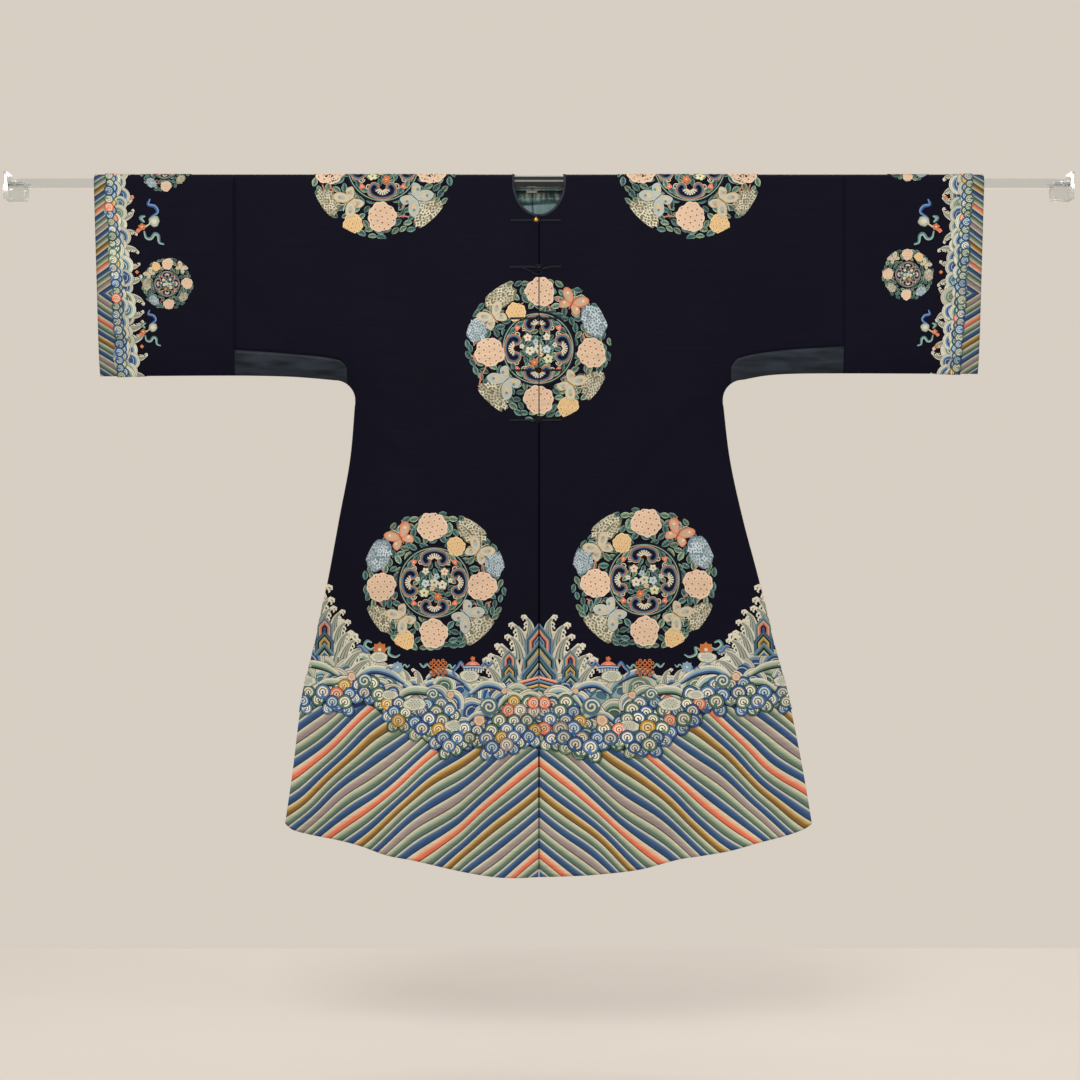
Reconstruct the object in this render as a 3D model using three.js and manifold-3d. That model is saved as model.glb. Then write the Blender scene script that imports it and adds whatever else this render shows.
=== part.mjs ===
// A woman's front-opening silk tapestry robe, hung flat by its sleeves on a clear rod.
// Millimetres. +Z is up, the front faces -Y, and +X is to the right for someone who looks at the front.
// The origin is on the rod's centre line, half way along it.
// "out" is the distance from the centre line, so both halves are worked out in the same way.
import * as THREE from 'three';
import { mergeVertices } from 'three/addons/utils/BufferGeometryUtils.js';
import Module from 'manifold-3d';

const wasm = await Module();
wasm.setup();

// Cloth and seams
const wall = 2;                  // silk face, interlining and lining together
const seamGap = 0.3;
const edgeRounding = 90;         // how far in from a closed edge the two layers keep parting

// Rod and its holders
const rodRadius = 15;
const rodLength = 2150;
const rodFacets = 24;
const foldRadius = 17.65;        // outer face of the cloth where it turns over the rod
const holderDepth = 50;
const holderTop = 20;
const holderBottom = -34;
const holderPlate = 6;
const saddleLength = 38;
const saddleDepth = 42;
const saddleTop = -1;

// Cut of the robe
const neckOut = 50;
const neckDrop = 66;
const underarmOut = 373;
const underarmRadius = 41;
const underarmZ = -446;
const stripOut = 389;            // inner end of the satin strip under the arm
const stripZ = -374;
const sleeveSeamOut = 617;       // one loom width from the centre line
const cuffTopOut = 900;
const cuffBottomOut = 890;
const hemFlareTop = -620;        // the flutes begin here and are deepest at the hem

// Height of the sleeve's underside, of the upper edge of the satin strip, by distance from the centre
const sleeveUnderside = [
  { out: 414, left: -400, right: -399 },
  { out: 457, left: -396, right: -391 },
  { out: 510, left: -392.5, right: -387 },
  { out: 615, left: -390.5, right: -386 },
  { out: 900, left: -392, right: -387 },
];
const stripUpperEdge = [
  { out: 389, left: -374, right: -373 },
  { out: 403, left: -360, right: -356 },
  { out: 485, left: -348.5, right: -341 },
  { out: 617, left: -339, right: -332 },
];

// The side seam's distance from the centre line, by height
const sideSeam = [
  { z: -440, left: 373, right: 373 },
  { z: -560, left: 383.5, right: 387.5 },
  { z: -680, left: 405.5, right: 413.5 },
  { z: -805, left: 428.5, right: 446.5 },
  { z: -942, left: 457, right: 479 },
  { z: -1067, left: 484, right: 511 },
  { z: -1193, left: 500, right: 536 },
  { z: -1300, left: 515.5, right: 554 },
];

// The hem's height, by the share of the way from the opening to the side seam
const hemLine = [
  { across: 0, left: -1401, right: -1401 },
  { across: 0.1, left: -1403, right: -1400 },
  { across: 0.2, left: -1399, right: -1397.5 },
  { across: 0.35, left: -1386, right: -1387 },
  { across: 0.5, left: -1366, right: -1367 },
  { across: 0.6, left: -1357, right: -1360.5 },
  { across: 0.7, left: -1342, right: -1351 },
  { across: 0.8, left: -1329, right: -1336 },
  { across: 0.9, left: -1319.5, right: -1323 },
  { across: 0.97, left: -1311, right: -1310 },
  { across: 1, left: -1299, right: -1300 },
];

// Half the depth of the hanging robe, by height, and the width of the front opening
const hangingDepth = [
  { z: 0, body: foldRadius, sleeve: foldRadius, opening: 1.8 },
  { z: -120, body: 17, sleeve: 16, opening: 1.8 },
  { z: -280, body: 17, sleeve: 13.5, opening: 1.8 },
  { z: -446, body: 19, sleeve: 11.5, opening: 1.8 },
  { z: -800, body: 27, sleeve: 11.5, opening: 2.2 },
  { z: -1120, body: 36, sleeve: 11.5, opening: 3 },
  { z: -1405, body: 44, sleeve: 11.5, opening: 1.4 },
];

// The largest folds: soft flutes that run up from the hem, and how far each swells at the hem
const flutes = [
  { face: 'front', half: 'left', across: 0.16, spread: 0.09, swell: 4 },
  { face: 'front', half: 'left', across: 0.36, spread: 0.08, swell: -6 },
  { face: 'front', half: 'left', across: 0.54, spread: 0.09, swell: 9 },
  { face: 'front', half: 'left', across: 0.7, spread: 0.07, swell: -5 },
  { face: 'front', half: 'left', across: 0.85, spread: 0.08, swell: 8 },
  { face: 'front', half: 'right', across: 0.2, spread: 0.1, swell: -4 },
  { face: 'front', half: 'right', across: 0.4, spread: 0.09, swell: 7 },
  { face: 'front', half: 'right', across: 0.58, spread: 0.08, swell: -6 },
  { face: 'front', half: 'right', across: 0.78, spread: 0.1, swell: 9 },
  { face: 'back', half: 'left', across: 0.24, spread: 0.1, swell: 7 },
  { face: 'back', half: 'left', across: 0.48, spread: 0.09, swell: -5 },
  { face: 'back', half: 'left', across: 0.72, spread: 0.1, swell: 8 },
  { face: 'back', half: 'right', across: 0.14, spread: 0.08, swell: -5 },
  { face: 'back', half: 'right', across: 0.34, spread: 0.1, swell: 8 },
  { face: 'back', half: 'right', across: 0.6, spread: 0.09, swell: -5 },
  { face: 'back', half: 'right', across: 0.8, spread: 0.09, swell: 7 },
];

// The five fastenings down the front: the height of each and where its button lies
const fastenings = [
  { name: 'neck', z: -78, buttonX: -6, buttonRadius: 5.5, leftEnd: -58, rightEnd: 44 },
  { name: 'upper', z: -172, buttonX: -1, buttonRadius: 3.5, leftEnd: -60, rightEnd: 44 },
  { name: 'chest', z: -276, buttonX: -1, buttonRadius: 3.5, leftEnd: -58, rightEnd: 45 },
  { name: 'waist', z: -381, buttonX: 0, buttonRadius: 3.5, leftEnd: -56, rightEnd: 46 },
  { name: 'lower', z: -482, buttonX: -1, buttonRadius: 3.5, leftEnd: -59, rightEnd: 45 },
];
const frogWidth = 4;
const frogThickness = 1.8;
const eyeWall = 1.9;             // the loop of cord round a button

// Neck edge
const bindingWidth = 4.5;
const bindingThickness = 1;
const liningOut = 74;
const liningTop = -18;
const liningBottom = -124;
const liningThickness = 1;
const label = { left: -26, right: -4, top: -10.5, bottom: -17, thickness: 0.8 };

// Finishes
const finish = {
  silk: new THREE.MeshStandardMaterial({ color: 0x1a1826, roughness: 0.62, metalness: 0 }),
  satin: new THREE.MeshStandardMaterial({ color: 0x262c36, roughness: 0.42, metalness: 0 }),
  lining: new THREE.MeshStandardMaterial({ color: 0x6a8784, roughness: 0.4, metalness: 0 }),
  label: new THREE.MeshStandardMaterial({ color: 0xe9e4da, roughness: 0.8, metalness: 0 }),
  cord: new THREE.MeshStandardMaterial({ color: 0x1d2430, roughness: 0.55, metalness: 0 }),
  gilt: new THREE.MeshStandardMaterial({ color: 0xc9a154, roughness: 0.35, metalness: 1 }),
  acrylic: new THREE.MeshStandardMaterial({ color: 0xdfe5e6, roughness: 0.08, metalness: 0 }),
};

/** The share of the way from one value to another, eased at both ends and held past them. */
function ease(from, to, at) {
  const share = THREE.MathUtils.clamp((at - from) / (to - from), 0, 1);
  return share * share * (3 - 2 * share);
}

/** A table's column at a place between its rows, on a smooth curve through them, held past its ends. */
function read(table, key, column, at) {
  const rising = table[table.length - 1][key] > table[0][key];
  const place = rising ? at : -at;
  const keys = table.map((row) => (rising ? row[key] : -row[key]));
  const last = keys.length - 1;
  if (place <= keys[0]) return table[0][column];
  if (place >= keys[last]) return table[last][column];
  const slope = (row) => {
    const before = Math.max(row - 1, 0);
    const after = Math.min(row + 1, last);
    return (table[after][column] - table[before][column]) / (keys[after] - keys[before]);
  };
  const row = keys.findIndex((value) => value > place) - 1;
  const span = keys[row + 1] - keys[row];
  const share = (place - keys[row]) / span;
  const here = table[row][column];
  const there = table[row + 1][column];
  const leaving = slope(row) * span * share * (1 - share) ** 2;
  const arriving = slope(row + 1) * span * share ** 2 * (1 - share);
  return here + (there - here) * share * share * (3 - 2 * share) + leaving - arriving;
}

/** Height of the lowest point of the upper part: the sleeve's underside and the round underarm. */
function undersideZ(half, out) {
  const cornerOut = underarmOut + underarmRadius;
  if (out <= underarmOut) return underarmZ;
  if (out >= cornerOut) return read(sleeveUnderside, 'out', half, out);
  const centreZ = read(sleeveUnderside, 'out', half, cornerOut) - underarmRadius;
  return centreZ + Math.sqrt(underarmRadius ** 2 - (cornerOut - out) ** 2);
}

/** Distance from the nearest closed edge: side seam, underarm or sleeve underside. */
function edgeDistance(half, out, z) {
  const cornerOut = read(sideSeam, 'z', half, z) + underarmRadius;
  const cornerZ = read(sleeveUnderside, 'out', half, out) - underarmRadius;
  return Math.hypot(Math.max(cornerOut - out, 0), Math.max(z - cornerZ, 0)) - underarmRadius;
}

/** Half the robe's depth at a place below the rod: a quarter ellipse at the closed edge, and the flutes. */
function halfDepth(half, face, out, z) {
  const inward = THREE.MathUtils.clamp(edgeDistance(half, out, z) / edgeRounding, 0, 1);
  const swelling = Math.sqrt(1 - (1 - inward) ** 2);
  const onSleeve = ease(260, 460, out);
  const depth = THREE.MathUtils.lerp(
    read(hangingDepth, 'z', 'body', z), read(hangingDepth, 'z', 'sleeve', z), onSleeve);
  const across = out / read(sideSeam, 'z', half, z);
  const fluteRise = ease(hemFlareTop, hemLine[0].left, z);
  let flute = 0;
  for (const fold of flutes) {
    if (fold.face !== face || fold.half !== half) continue;
    flute += fold.swell * Math.exp(-(((across - fold.across) / fold.spread) ** 2));
  }
  return swelling * (depth + flute * fluteRise);
}

/** Even steps from one value up to another, which is left out. */
const steps = (from, to, count) => {
  return Array.from({ length: count }, (_, step) => from + ((to - from) * step) / count);
};

/** Distance out of the round underarm's edge where it has turned through an angle in degrees. */
const underarmArc = (degrees) => {
  return underarmOut + underarmRadius * (1 - Math.cos(THREE.MathUtils.degToRad(degrees)));
};

// The cloth is one grid on each half. Columns run out from the centre, and rows run down from the fold.
const neckColumns = 4;
const panelColumns = 11;
const armColumns = 4;
const sleeveColumns = 6;
const columnOuts = [
  ...steps(0, neckOut, neckColumns),
  ...steps(neckOut, underarmOut, panelColumns),
  underarmOut,
  underarmArc(31.5),
  stripOut,
  underarmArc(74),
  ...steps(underarmArc(90), sleeveSeamOut, armColumns),
  ...steps(sleeveSeamOut, cuffTopOut, sleeveColumns),
  cuffTopOut,
];
const underarmColumn = columnOuts.indexOf(underarmOut);
const stripColumn = columnOuts.indexOf(stripOut);
const seamColumn = columnOuts.indexOf(sleeveSeamOut);
const cuffColumn = columnOuts.length - 1;
const foldRows = 4;
const neckRow = foldRows + 3;
const stripRow = neckRow + 5;
const underarmRow = stripRow + 2;
const hemRow = underarmRow + 12;

const onClosedEdge = (column, row) => {
  const underArm = row === underarmRow && column >= underarmColumn;
  return underArm || (row > underarmRow && column === underarmColumn);
};

/**
 * Where a column and a row of the grid meet, as distance out and height, for rows below the rod.
 * The neck is a half ellipse. Column "neckColumns" follows its side and row "neckRow" its floor, and
 * they meet where the ellipse has turned 45 degrees. Below it the columns ease back to even steps.
 */
function gridPlace(half, face, column, row) {
  const foldOut = columnOuts[column];
  const cutForNeck = face === 'front' && column <= neckColumns;
  const floorAngle = (Math.PI / 4) * (cutForNeck ? 2 - column / neckColumns : 1);
  const floorOut = cutForNeck ? neckOut * Math.cos(floorAngle) : foldOut;
  const floorZ = -neckDrop * Math.sin(floorAngle);
  if (row <= neckRow) {
    const share = (row - foldRows) / (neckRow - foldRows);
    if (!cutForNeck) return { out: foldOut, z: floorZ * share };
    const sideAngle = (Math.PI / 4) * share;
    const onSide = { out: neckOut * Math.cos(sideAngle), z: -neckDrop * Math.sin(sideAngle) };
    return column === neckColumns ? onSide : { out: floorOut, z: floorZ };
  }
  if (row <= underarmRow) {
    const stripHeight = foldOut < stripOut ? stripZ : read(stripUpperEdge, 'out', half, foldOut);
    const upper = (row - neckRow) / (stripRow - neckRow);
    const lower = (row - stripRow) / (underarmRow - stripRow);
    const z = row <= stripRow
      ? THREE.MathUtils.lerp(floorZ, stripHeight, upper)
      : THREE.MathUtils.lerp(stripHeight, undersideZ(half, foldOut), lower);
    return { out: THREE.MathUtils.lerp(foldOut, floorOut, ease(neckRow + 3, neckRow, row)), z };
  }
  const across = foldOut / underarmOut;
  const share = (row - underarmRow) / (hemRow - underarmRow);
  const z = THREE.MathUtils.lerp(underarmZ, read(hemLine, 'across', half, across), share);
  return { out: across * read(sideSeam, 'z', half, z), z };
}

/** The outer face of the cloth at one corner of the grid. */
function clothPoint(half, face, column, row) {
  const toward = face === 'front' ? -1 : 1;
  const mirror = half === 'left' ? -1 : 1;
  if (row <= foldRows) {
    const turn = (Math.PI / 2) * (row / foldRows);
    const y = toward * foldRadius * Math.sin(turn);
    return new THREE.Vector3(mirror * columnOuts[column], y, foldRadius * Math.cos(turn));
  }
  const { out: squareOut, z } = gridPlace(half, face, column, row);
  const cuffSlant = (cuffTopOut - cuffBottomOut) * (z / undersideZ(half, cuffTopOut));
  const alongSleeve = Math.max(squareOut - sleeveSeamOut, 0) / (cuffTopOut - sleeveSeamOut);
  let out = squareOut - cuffSlant * alongSleeve;
  if (column === 0 && face === 'front') out = read(hangingDepth, 'z', 'opening', z) / 2;
  const depth = onClosedEdge(column, row) ? 0 : halfDepth(half, face, out, z);
  return new THREE.Vector3(mirror * out, toward * depth, z);
}

/** A geometry from a list of points and a list of triangles. */
function facetedGeometry(points, triangles) {
  const geometry = new THREE.BufferGeometry();
  geometry.setAttribute('position', new THREE.Float32BufferAttribute(points.flatMap((p) => p.toArray()), 3));
  geometry.setIndex(triangles.flat());
  geometry.computeVertexNormals();
  return geometry;
}

const isStrip = (column, row) => column >= stripColumn && row >= stripRow;
const isNeckHole = (face, column, row) => column < neckColumns && row < (face === 'front' ? neckRow : 1);

/** The cells of the grid that belong to one piece. */
function cellsOf(belongs) {
  const cells = [];
  for (const face of ['front', 'back']) {
    for (let row = 0; row < hemRow; row += 1) {
      const lastColumn = row < underarmRow ? cuffColumn : underarmColumn;
      for (let column = 0; column < lastColumn; column += 1) {
        if (belongs(face, column, row)) cells.push({ face, column, row });
      }
    }
  }
  return cells;
}

const pieceCells = {
  body: cellsOf((face, column, row) => {
    return column < seamColumn && !isStrip(column, row) && !isNeckHole(face, column, row);
  }),
  sleeve: cellsOf((face, column) => column >= seamColumn),
  strip: cellsOf((face, column, row) => column < seamColumn && isStrip(column, row)),
};

/** A cell's corners, anticlockwise seen from outside, as names that both faces share at a fold or seam. */
function cellCorners(half, { face, column, row }) {
  const corners = [[0, 0], [1, 0], [1, 1], [0, 1]].map(([over, down]) => {
    const layer = row + down === 0 || onClosedEdge(column + over, row + down) ? 'both' : face;
    return { name: `${layer} ${column + over} ${row + down}`, face, column: column + over, row: row + down };
  });
  return (half === 'right') === (face === 'front') ? corners.reverse() : corners;
}

/** Outward direction of a four-sided cell, as long as its area is large. */
function cellNormal([a, b, c, d]) {
  return c.clone().sub(a).cross(d.clone().sub(b));
}

/** Every corner of one half of the robe: its point on the outer face and the cloth's direction there. */
function halfSurface(half) {
  const surface = new Map();
  for (const cell of [...pieceCells.body, ...pieceCells.sleeve, ...pieceCells.strip]) {
    const corners = cellCorners(half, cell);
    for (const { name, face, column, row } of corners) {
      if (surface.has(name)) continue;
      surface.set(name, { point: clothPoint(half, face, column, row), normal: new THREE.Vector3() });
    }
    const normal = cellNormal(corners.map(({ name }) => surface.get(name).point));
    for (const { name } of corners) surface.get(name).normal.add(normal);
  }
  for (const { normal } of surface.values()) normal.normalize();
  return surface;
}

/** One cut piece: outer face, inner face one wall inside it, and walls along its open edges. */
function cutPiece(half, surface, cells) {
  const places = new Map();
  const quads = cells.map((cell) => cellCorners(half, cell).map(({ name }) => {
    if (!places.has(name)) {
      places.set(name, { name, index: places.size, inward: new THREE.Vector3(), ...surface.get(name) });
    }
    return places.get(name);
  }));
  const sides = new Map();
  for (const quad of quads) {
    const normal = cellNormal(quad.map(({ point }) => point));
    quad.forEach((from, step) => {
      const to = quad[(step + 1) % 4];
      sides.set(`${from.index} ${to.index}`, { from, to, normal });
    });
  }
  const openSides = [...sides.values()].filter(({ from, to }) => !sides.has(`${to.index} ${from.index}`));
  for (const { from, to, normal } of openSides) {
    const direction = normal.clone().cross(to.point.clone().sub(from.point)).normalize();
    from.inward.add(direction);
    to.inward.add(direction);
  }
  const outer = [...places.values()].map(({ point, inward }) => {
    return point.clone().addScaledVector(inward.normalize(), seamGap / 2);
  });
  const inner = [...places.values()].map(({ normal }, index) => {
    return outer[index].clone().addScaledVector(normal, -wall);
  });

  const inside = outer.length;
  const triangles = [];
  for (const quad of quads) {
    const [a, b, c, d] = quad.map(({ index }) => index);
    triangles.push([a, b, c], [a, c, d]);
    triangles.push([inside + c, inside + b, inside + a], [inside + d, inside + c, inside + a]);
  }
  // Two pieces that meet at a seam split its wall along the same diagonal, so the gap between them is even.
  for (const { from, to } of openSides) {
    const [a, b, underA, underB] = [from.index, to.index, inside + from.index, inside + to.index];
    if (from.name < to.name) triangles.push([b, a, underA], [b, underA, underB]);
    else triangles.push([b, a, underB], [a, underA, underB]);
  }
  return facetedGeometry([...outer, ...inner], triangles);
}

/** A point on the cloth by x and by the run down from the fold, front positive and back negative. */
function facePoint(x, run) {
  const quarterTurn = (foldRadius * Math.PI) / 2;
  const toward = run >= 0 ? -1 : 1;
  const down = Math.abs(run);
  if (down <= quarterTurn) {
    const turn = down / foldRadius;
    return new THREE.Vector3(x, toward * foldRadius * Math.sin(turn), foldRadius * Math.cos(turn));
  }
  const z = quarterTurn - down;
  const depth = halfDepth(x < 0 ? 'left' : 'right', run >= 0 ? 'front' : 'back', Math.abs(x), z);
  return new THREE.Vector3(x, toward * depth, z);
}

/** The same point raised off the cloth along its normal, or let in below it by a negative lift. */
function onCloth(x, run, lift) {
  const step = 0.5;
  const alongX = facePoint(x + step, run).sub(facePoint(x - step, run));
  const alongRun = facePoint(x, run + step).sub(facePoint(x, run - step));
  return facePoint(x, run).addScaledVector(alongRun.cross(alongX).normalize(), lift);
}

const runAt = (z) => (foldRadius * Math.PI) / 2 - z;

/** A flat-made piece laid on the front: its x and y go along the cloth and its z is the lift. */
function layOnFront(geometry, x, z, lift) {
  const laid = mergeVertices(geometry.deleteAttribute('uv').deleteAttribute('normal'));
  const places = laid.getAttribute('position');
  for (let vertex = 0; vertex < places.count; vertex += 1) {
    const placed = onCloth(
      x + places.getX(vertex), runAt(z) - places.getY(vertex), lift + places.getZ(vertex));
    places.setXYZ(vertex, placed.x, placed.y, placed.z);
  }
  laid.computeVertexNormals();
  return laid;
}

/** A sheet between two lifts, from places given as x and run. Along a row x grows; row by row run falls. */
function layeredSheet(rows, lowLift, highLift) {
  const width = rows[0].length;
  const points = [];
  for (const lift of [highLift, lowLift]) {
    for (const row of rows) for (const [x, run] of row) points.push(onCloth(x, run, lift));
  }
  const under = rows.length * width;
  const triangles = [];
  const quad = (a, b, c, d) => triangles.push([a, b, c], [a, c, d]);
  for (let row = 0; row + 1 < rows.length; row += 1) {
    for (let step = 0; step + 1 < width; step += 1) {
      const a = row * width + step;
      quad(a, a + 1, a + width + 1, a + width);
      quad(under + a + width, under + a + width + 1, under + a + 1, under + a);
    }
  }
  const rim = [
    ...steps(0, width - 1, width - 1),
    ...steps(width - 1, under - 1, rows.length - 1),
    ...steps(under - 1, under - width, width - 1),
    ...steps(under - width, 0, rows.length - 1),
  ];
  rim.forEach((from, step) => {
    const to = rim[(step + 1) % rim.length];
    quad(to, from, under + from, under + to);
  });
  return facetedGeometry(points, triangles);
}

/** The neck's binding: a strip beside the edge, up one side, over the fold, along the back and down. */
function neckBinding() {
  const floorSteps = 8;
  const quarterTurn = (foldRadius * Math.PI) / 2;
  const rightSide = [];
  for (let step = 0; step <= floorSteps; step += 1) {
    const angle = (Math.PI / 2) * (1 - step / floorSteps);
    const x = neckOut * Math.cos(angle);
    const away = new THREE.Vector2(Math.cos(angle) / neckOut, Math.sin(angle) / neckDrop).normalize();
    rightSide.push({ x, run: quarterTurn + neckDrop * Math.sin(angle), away });
  }
  for (let row = foldRows - 1; row >= 0; row -= 1) {
    rightSide.push({ x: neckOut, run: (quarterTurn * row) / foldRows, away: new THREE.Vector2(1, 0) });
  }
  const backRun = -quarterTurn / foldRows;
  rightSide.push({ x: neckOut, run: backRun * 0.9, away: new THREE.Vector2(1, 0) });
  rightSide.push({ x: neckOut, run: backRun, away: new THREE.Vector2(1, -1) });
  rightSide.push({ x: neckOut / 2, run: backRun, away: new THREE.Vector2(0, -1) });
  rightSide[0].x = read(hangingDepth, 'z', 'opening', -neckDrop) / 2 + seamGap;
  const leftSide = rightSide.map(({ x, run, away }) => {
    return { x: -x, run, away: new THREE.Vector2(-away.x, away.y) };
  });
  const path = [...rightSide, ...leftSide.reverse()];
  const edge = path.map(({ x, run }) => [x, run]);
  const outside = path.map(({ x, run, away }) => [x + away.x * bindingWidth, run + away.y * bindingWidth]);
  return layeredSheet([outside, edge], seamGap, seamGap + bindingThickness);
}

/** A sheet of lining inside the back, where it shows through the neck. */
function neckLining() {
  const columns = [...steps(-liningOut, liningOut, 8), liningOut];
  const heights = [...steps(liningTop, liningBottom, 4), liningBottom];
  const rows = heights.map((z) => columns.map((x) => [x, -runAt(z)]));
  const high = -wall - seamGap;
  return layeredSheet(rows, high - liningThickness, high);
}

/** A blank woven label inside the back of the neck. */
function neckLabel() {
  const rows = [label.top, label.bottom].map((z) => [label.left, label.right].map((x) => [x, -runAt(z)]));
  const high = -wall - seamGap;
  return layeredSheet(rows, high - label.thickness, high);
}

/** A frog's left half: a bar of folded cord that ends in an eye round the button. */
function eyeHalf({ buttonX, buttonRadius, leftEnd }) {
  const eyeInner = buttonRadius + seamGap;
  const eyeOuter = eyeInner + eyeWall;
  const halfWidth = frogWidth / 2;
  const meet = Math.asin(halfWidth / eyeOuter);
  const outline = new THREE.Shape();
  outline.moveTo(leftEnd - buttonX, halfWidth);
  outline.lineTo(leftEnd - buttonX, -halfWidth);
  outline.absarc(0, 0, eyeOuter, Math.PI + meet, Math.PI * 3 - meet, false);
  const eye = new THREE.Path();
  eye.absarc(0, 0, eyeInner, 0, Math.PI * 2, true);
  outline.holes.push(eye);
  return new THREE.ExtrudeGeometry(outline, { depth: frogThickness, bevelEnabled: false, curveSegments: 9 });
}

/** A frog's right half: a bar of folded cord that starts beside the eye. */
function barHalf({ buttonX, buttonRadius, rightEnd }) {
  const start = buttonRadius + eyeWall + 2 * seamGap;
  const length = rightEnd - buttonX - start;
  const bar = new THREE.BoxGeometry(length, frogWidth, frogThickness, 3, 1, 1);
  return bar.translate(start + length / 2, 0, frogThickness / 2);
}

/** A round button with its neck on the cloth, turned about a line that leaves the front squarely. */
function buttonBall({ buttonRadius }) {
  const profile = [new THREE.Vector2(0, 0), new THREE.Vector2(buttonRadius * 0.45, 0)];
  for (let step = 1; step < 6; step += 1) {
    const angle = -Math.PI / 2 + 0.5 + ((Math.PI - 0.5) * step) / 6;
    profile.push(new THREE.Vector2(Math.cos(angle) * buttonRadius, (1 + Math.sin(angle)) * buttonRadius));
  }
  profile.push(new THREE.Vector2(0, 2 * buttonRadius));
  return new THREE.LatheGeometry(profile, 10).rotateX(Math.PI);
}

/** A closed solid of the boolean library from a three.js geometry, and the way back. */
function toSolid(geometry) {
  const bare = mergeVertices(geometry.clone().deleteAttribute('uv').deleteAttribute('normal'));
  return new wasm.Manifold(new wasm.Mesh({
    numProp: 3,
    vertProperties: new Float32Array(bare.getAttribute('position').array),
    triVerts: new Uint32Array(bare.getIndex().array),
  }));
}
function fromSolid(solid) {
  const mesh = solid.getMesh();
  const geometry = new THREE.BufferGeometry();
  geometry.setAttribute('position', new THREE.BufferAttribute(new Float32Array(mesh.vertProperties), 3));
  geometry.setIndex(new THREE.BufferAttribute(new Uint32Array(mesh.triVerts), 1));
  geometry.computeVertexNormals();
  return geometry;
}

/** A round bar along X, as the rod is. */
function rodGeometry(radius, length) {
  return new THREE.CylinderGeometry(radius, radius, length, rodFacets).rotateZ(Math.PI / 2);
}

/** A rod holder: an end plate and a saddle that cradles the lower half of the rod's end. */
function rodHolder(mirror) {
  const plateIn = rodLength / 2 + seamGap;
  const plate = new THREE.BoxGeometry(holderPlate, holderDepth, holderTop - holderBottom);
  plate.translate(plateIn + holderPlate / 2, 0, (holderTop + holderBottom) / 2);
  const saddle = new THREE.BoxGeometry(saddleLength, saddleDepth, saddleTop - holderBottom);
  saddle.translate(plateIn - saddleLength / 2 + holderPlate / 2, 0, (saddleTop + holderBottom) / 2);
  const channel = rodGeometry(rodRadius + 2 * seamGap, 2 * saddleLength);
  channel.translate(plateIn - saddleLength, 0, 0);
  const solid = toSolid(saddle).subtract(toSolid(channel)).add(toSolid(plate));
  return fromSolid(mirror < 0 ? solid.rotate([0, 0, 180]) : solid);
}

const robe = new THREE.Group();
function addPiece(name, geometry, material) {
  const piece = new THREE.Mesh(geometry, material);
  piece.name = name;
  robe.add(piece);
  return piece;
}

for (const half of ['left', 'right']) {
  const surface = halfSurface(half);
  addPiece(`body_${half}`, cutPiece(half, surface, pieceCells.body), finish.silk);
  addPiece(`sleeve_${half}`, cutPiece(half, surface, pieceCells.sleeve), finish.silk);
  addPiece(`underarm_strip_${half}`, cutPiece(half, surface, pieceCells.strip), finish.satin);
}
addPiece('neck_binding', neckBinding(), finish.satin);
addPiece('neck_lining', neckLining(), finish.lining);
addPiece('neck_label', neckLabel(), finish.label);

for (const fastening of fastenings) {
  const { name, z, buttonX, buttonRadius } = fastening;
  addPiece(`frog_${name}_left`, layOnFront(eyeHalf(fastening), buttonX, z, seamGap), finish.cord);
  addPiece(`frog_${name}_right`, layOnFront(barHalf(fastening), buttonX, z, seamGap), finish.cord);
  const button = addPiece(`button_${name}`, buttonBall({ buttonRadius }), finish.gilt);
  button.position.copy(onCloth(buttonX, runAt(z), seamGap));
}

addPiece('rod', rodGeometry(rodRadius, rodLength), finish.acrylic);
addPiece('rod_holder_left', rodHolder(-1), finish.acrylic);
addPiece('rod_holder_right', rodHolder(1), finish.acrylic);

export default robe;
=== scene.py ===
import bpy
import numpy as np
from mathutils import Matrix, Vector


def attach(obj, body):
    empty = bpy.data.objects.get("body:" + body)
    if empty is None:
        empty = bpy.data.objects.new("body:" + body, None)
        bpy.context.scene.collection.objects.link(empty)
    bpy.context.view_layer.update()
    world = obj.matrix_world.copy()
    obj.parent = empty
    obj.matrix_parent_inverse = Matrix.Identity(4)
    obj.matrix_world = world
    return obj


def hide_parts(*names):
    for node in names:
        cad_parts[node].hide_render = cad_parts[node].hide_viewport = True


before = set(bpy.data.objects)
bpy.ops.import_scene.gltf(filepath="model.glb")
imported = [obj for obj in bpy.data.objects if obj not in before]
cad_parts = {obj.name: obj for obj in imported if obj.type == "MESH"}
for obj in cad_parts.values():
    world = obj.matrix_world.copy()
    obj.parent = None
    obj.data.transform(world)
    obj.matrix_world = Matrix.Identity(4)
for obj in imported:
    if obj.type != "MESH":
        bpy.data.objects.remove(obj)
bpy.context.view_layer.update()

METRES = 0.001
CIRCLE = 2 * np.pi
QUARTER = np.pi / 2
EIGHTH = np.pi / 4
MIRROR = {"left": -1, "right": 1}
TOWARD = {"front": -1, "back": 1}
UPRIGHT = {"front": 0, "back": np.pi}

# Cloth over the rod
WALL = 2.0
FOLD_RADIUS = 17.65
FOLD_RUN = FOLD_RADIUS * QUARTER       # length of cloth over a quarter of the rod
EDGE_ROUNDING = 90
ROD_RADIUS = 15
ROD_LENGTH = 2150

# Cut of the robe
NECK_OUT = 50
NECK_DROP = 66
NECK_FADE_OUT = 82                      # beyond it the cloth's threads run straight past the neck
UNDERARM_OUT = 373
UNDERARM_RADIUS = 41
UNDERARM_Z = -446
STRIP_OUT = 389
STRIP_Z = -374
SLEEVE_SEAM_OUT = 617
CUFF_TOP_OUT = 900
CUFF_BOTTOM_OUT = 890
HEM_CENTRE_Z = -1401
HEM_FLARE_TOP = -620
ARM_START, ARM_FULL = 260, 460          # the body's depth eases into the sleeve's between them

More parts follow.
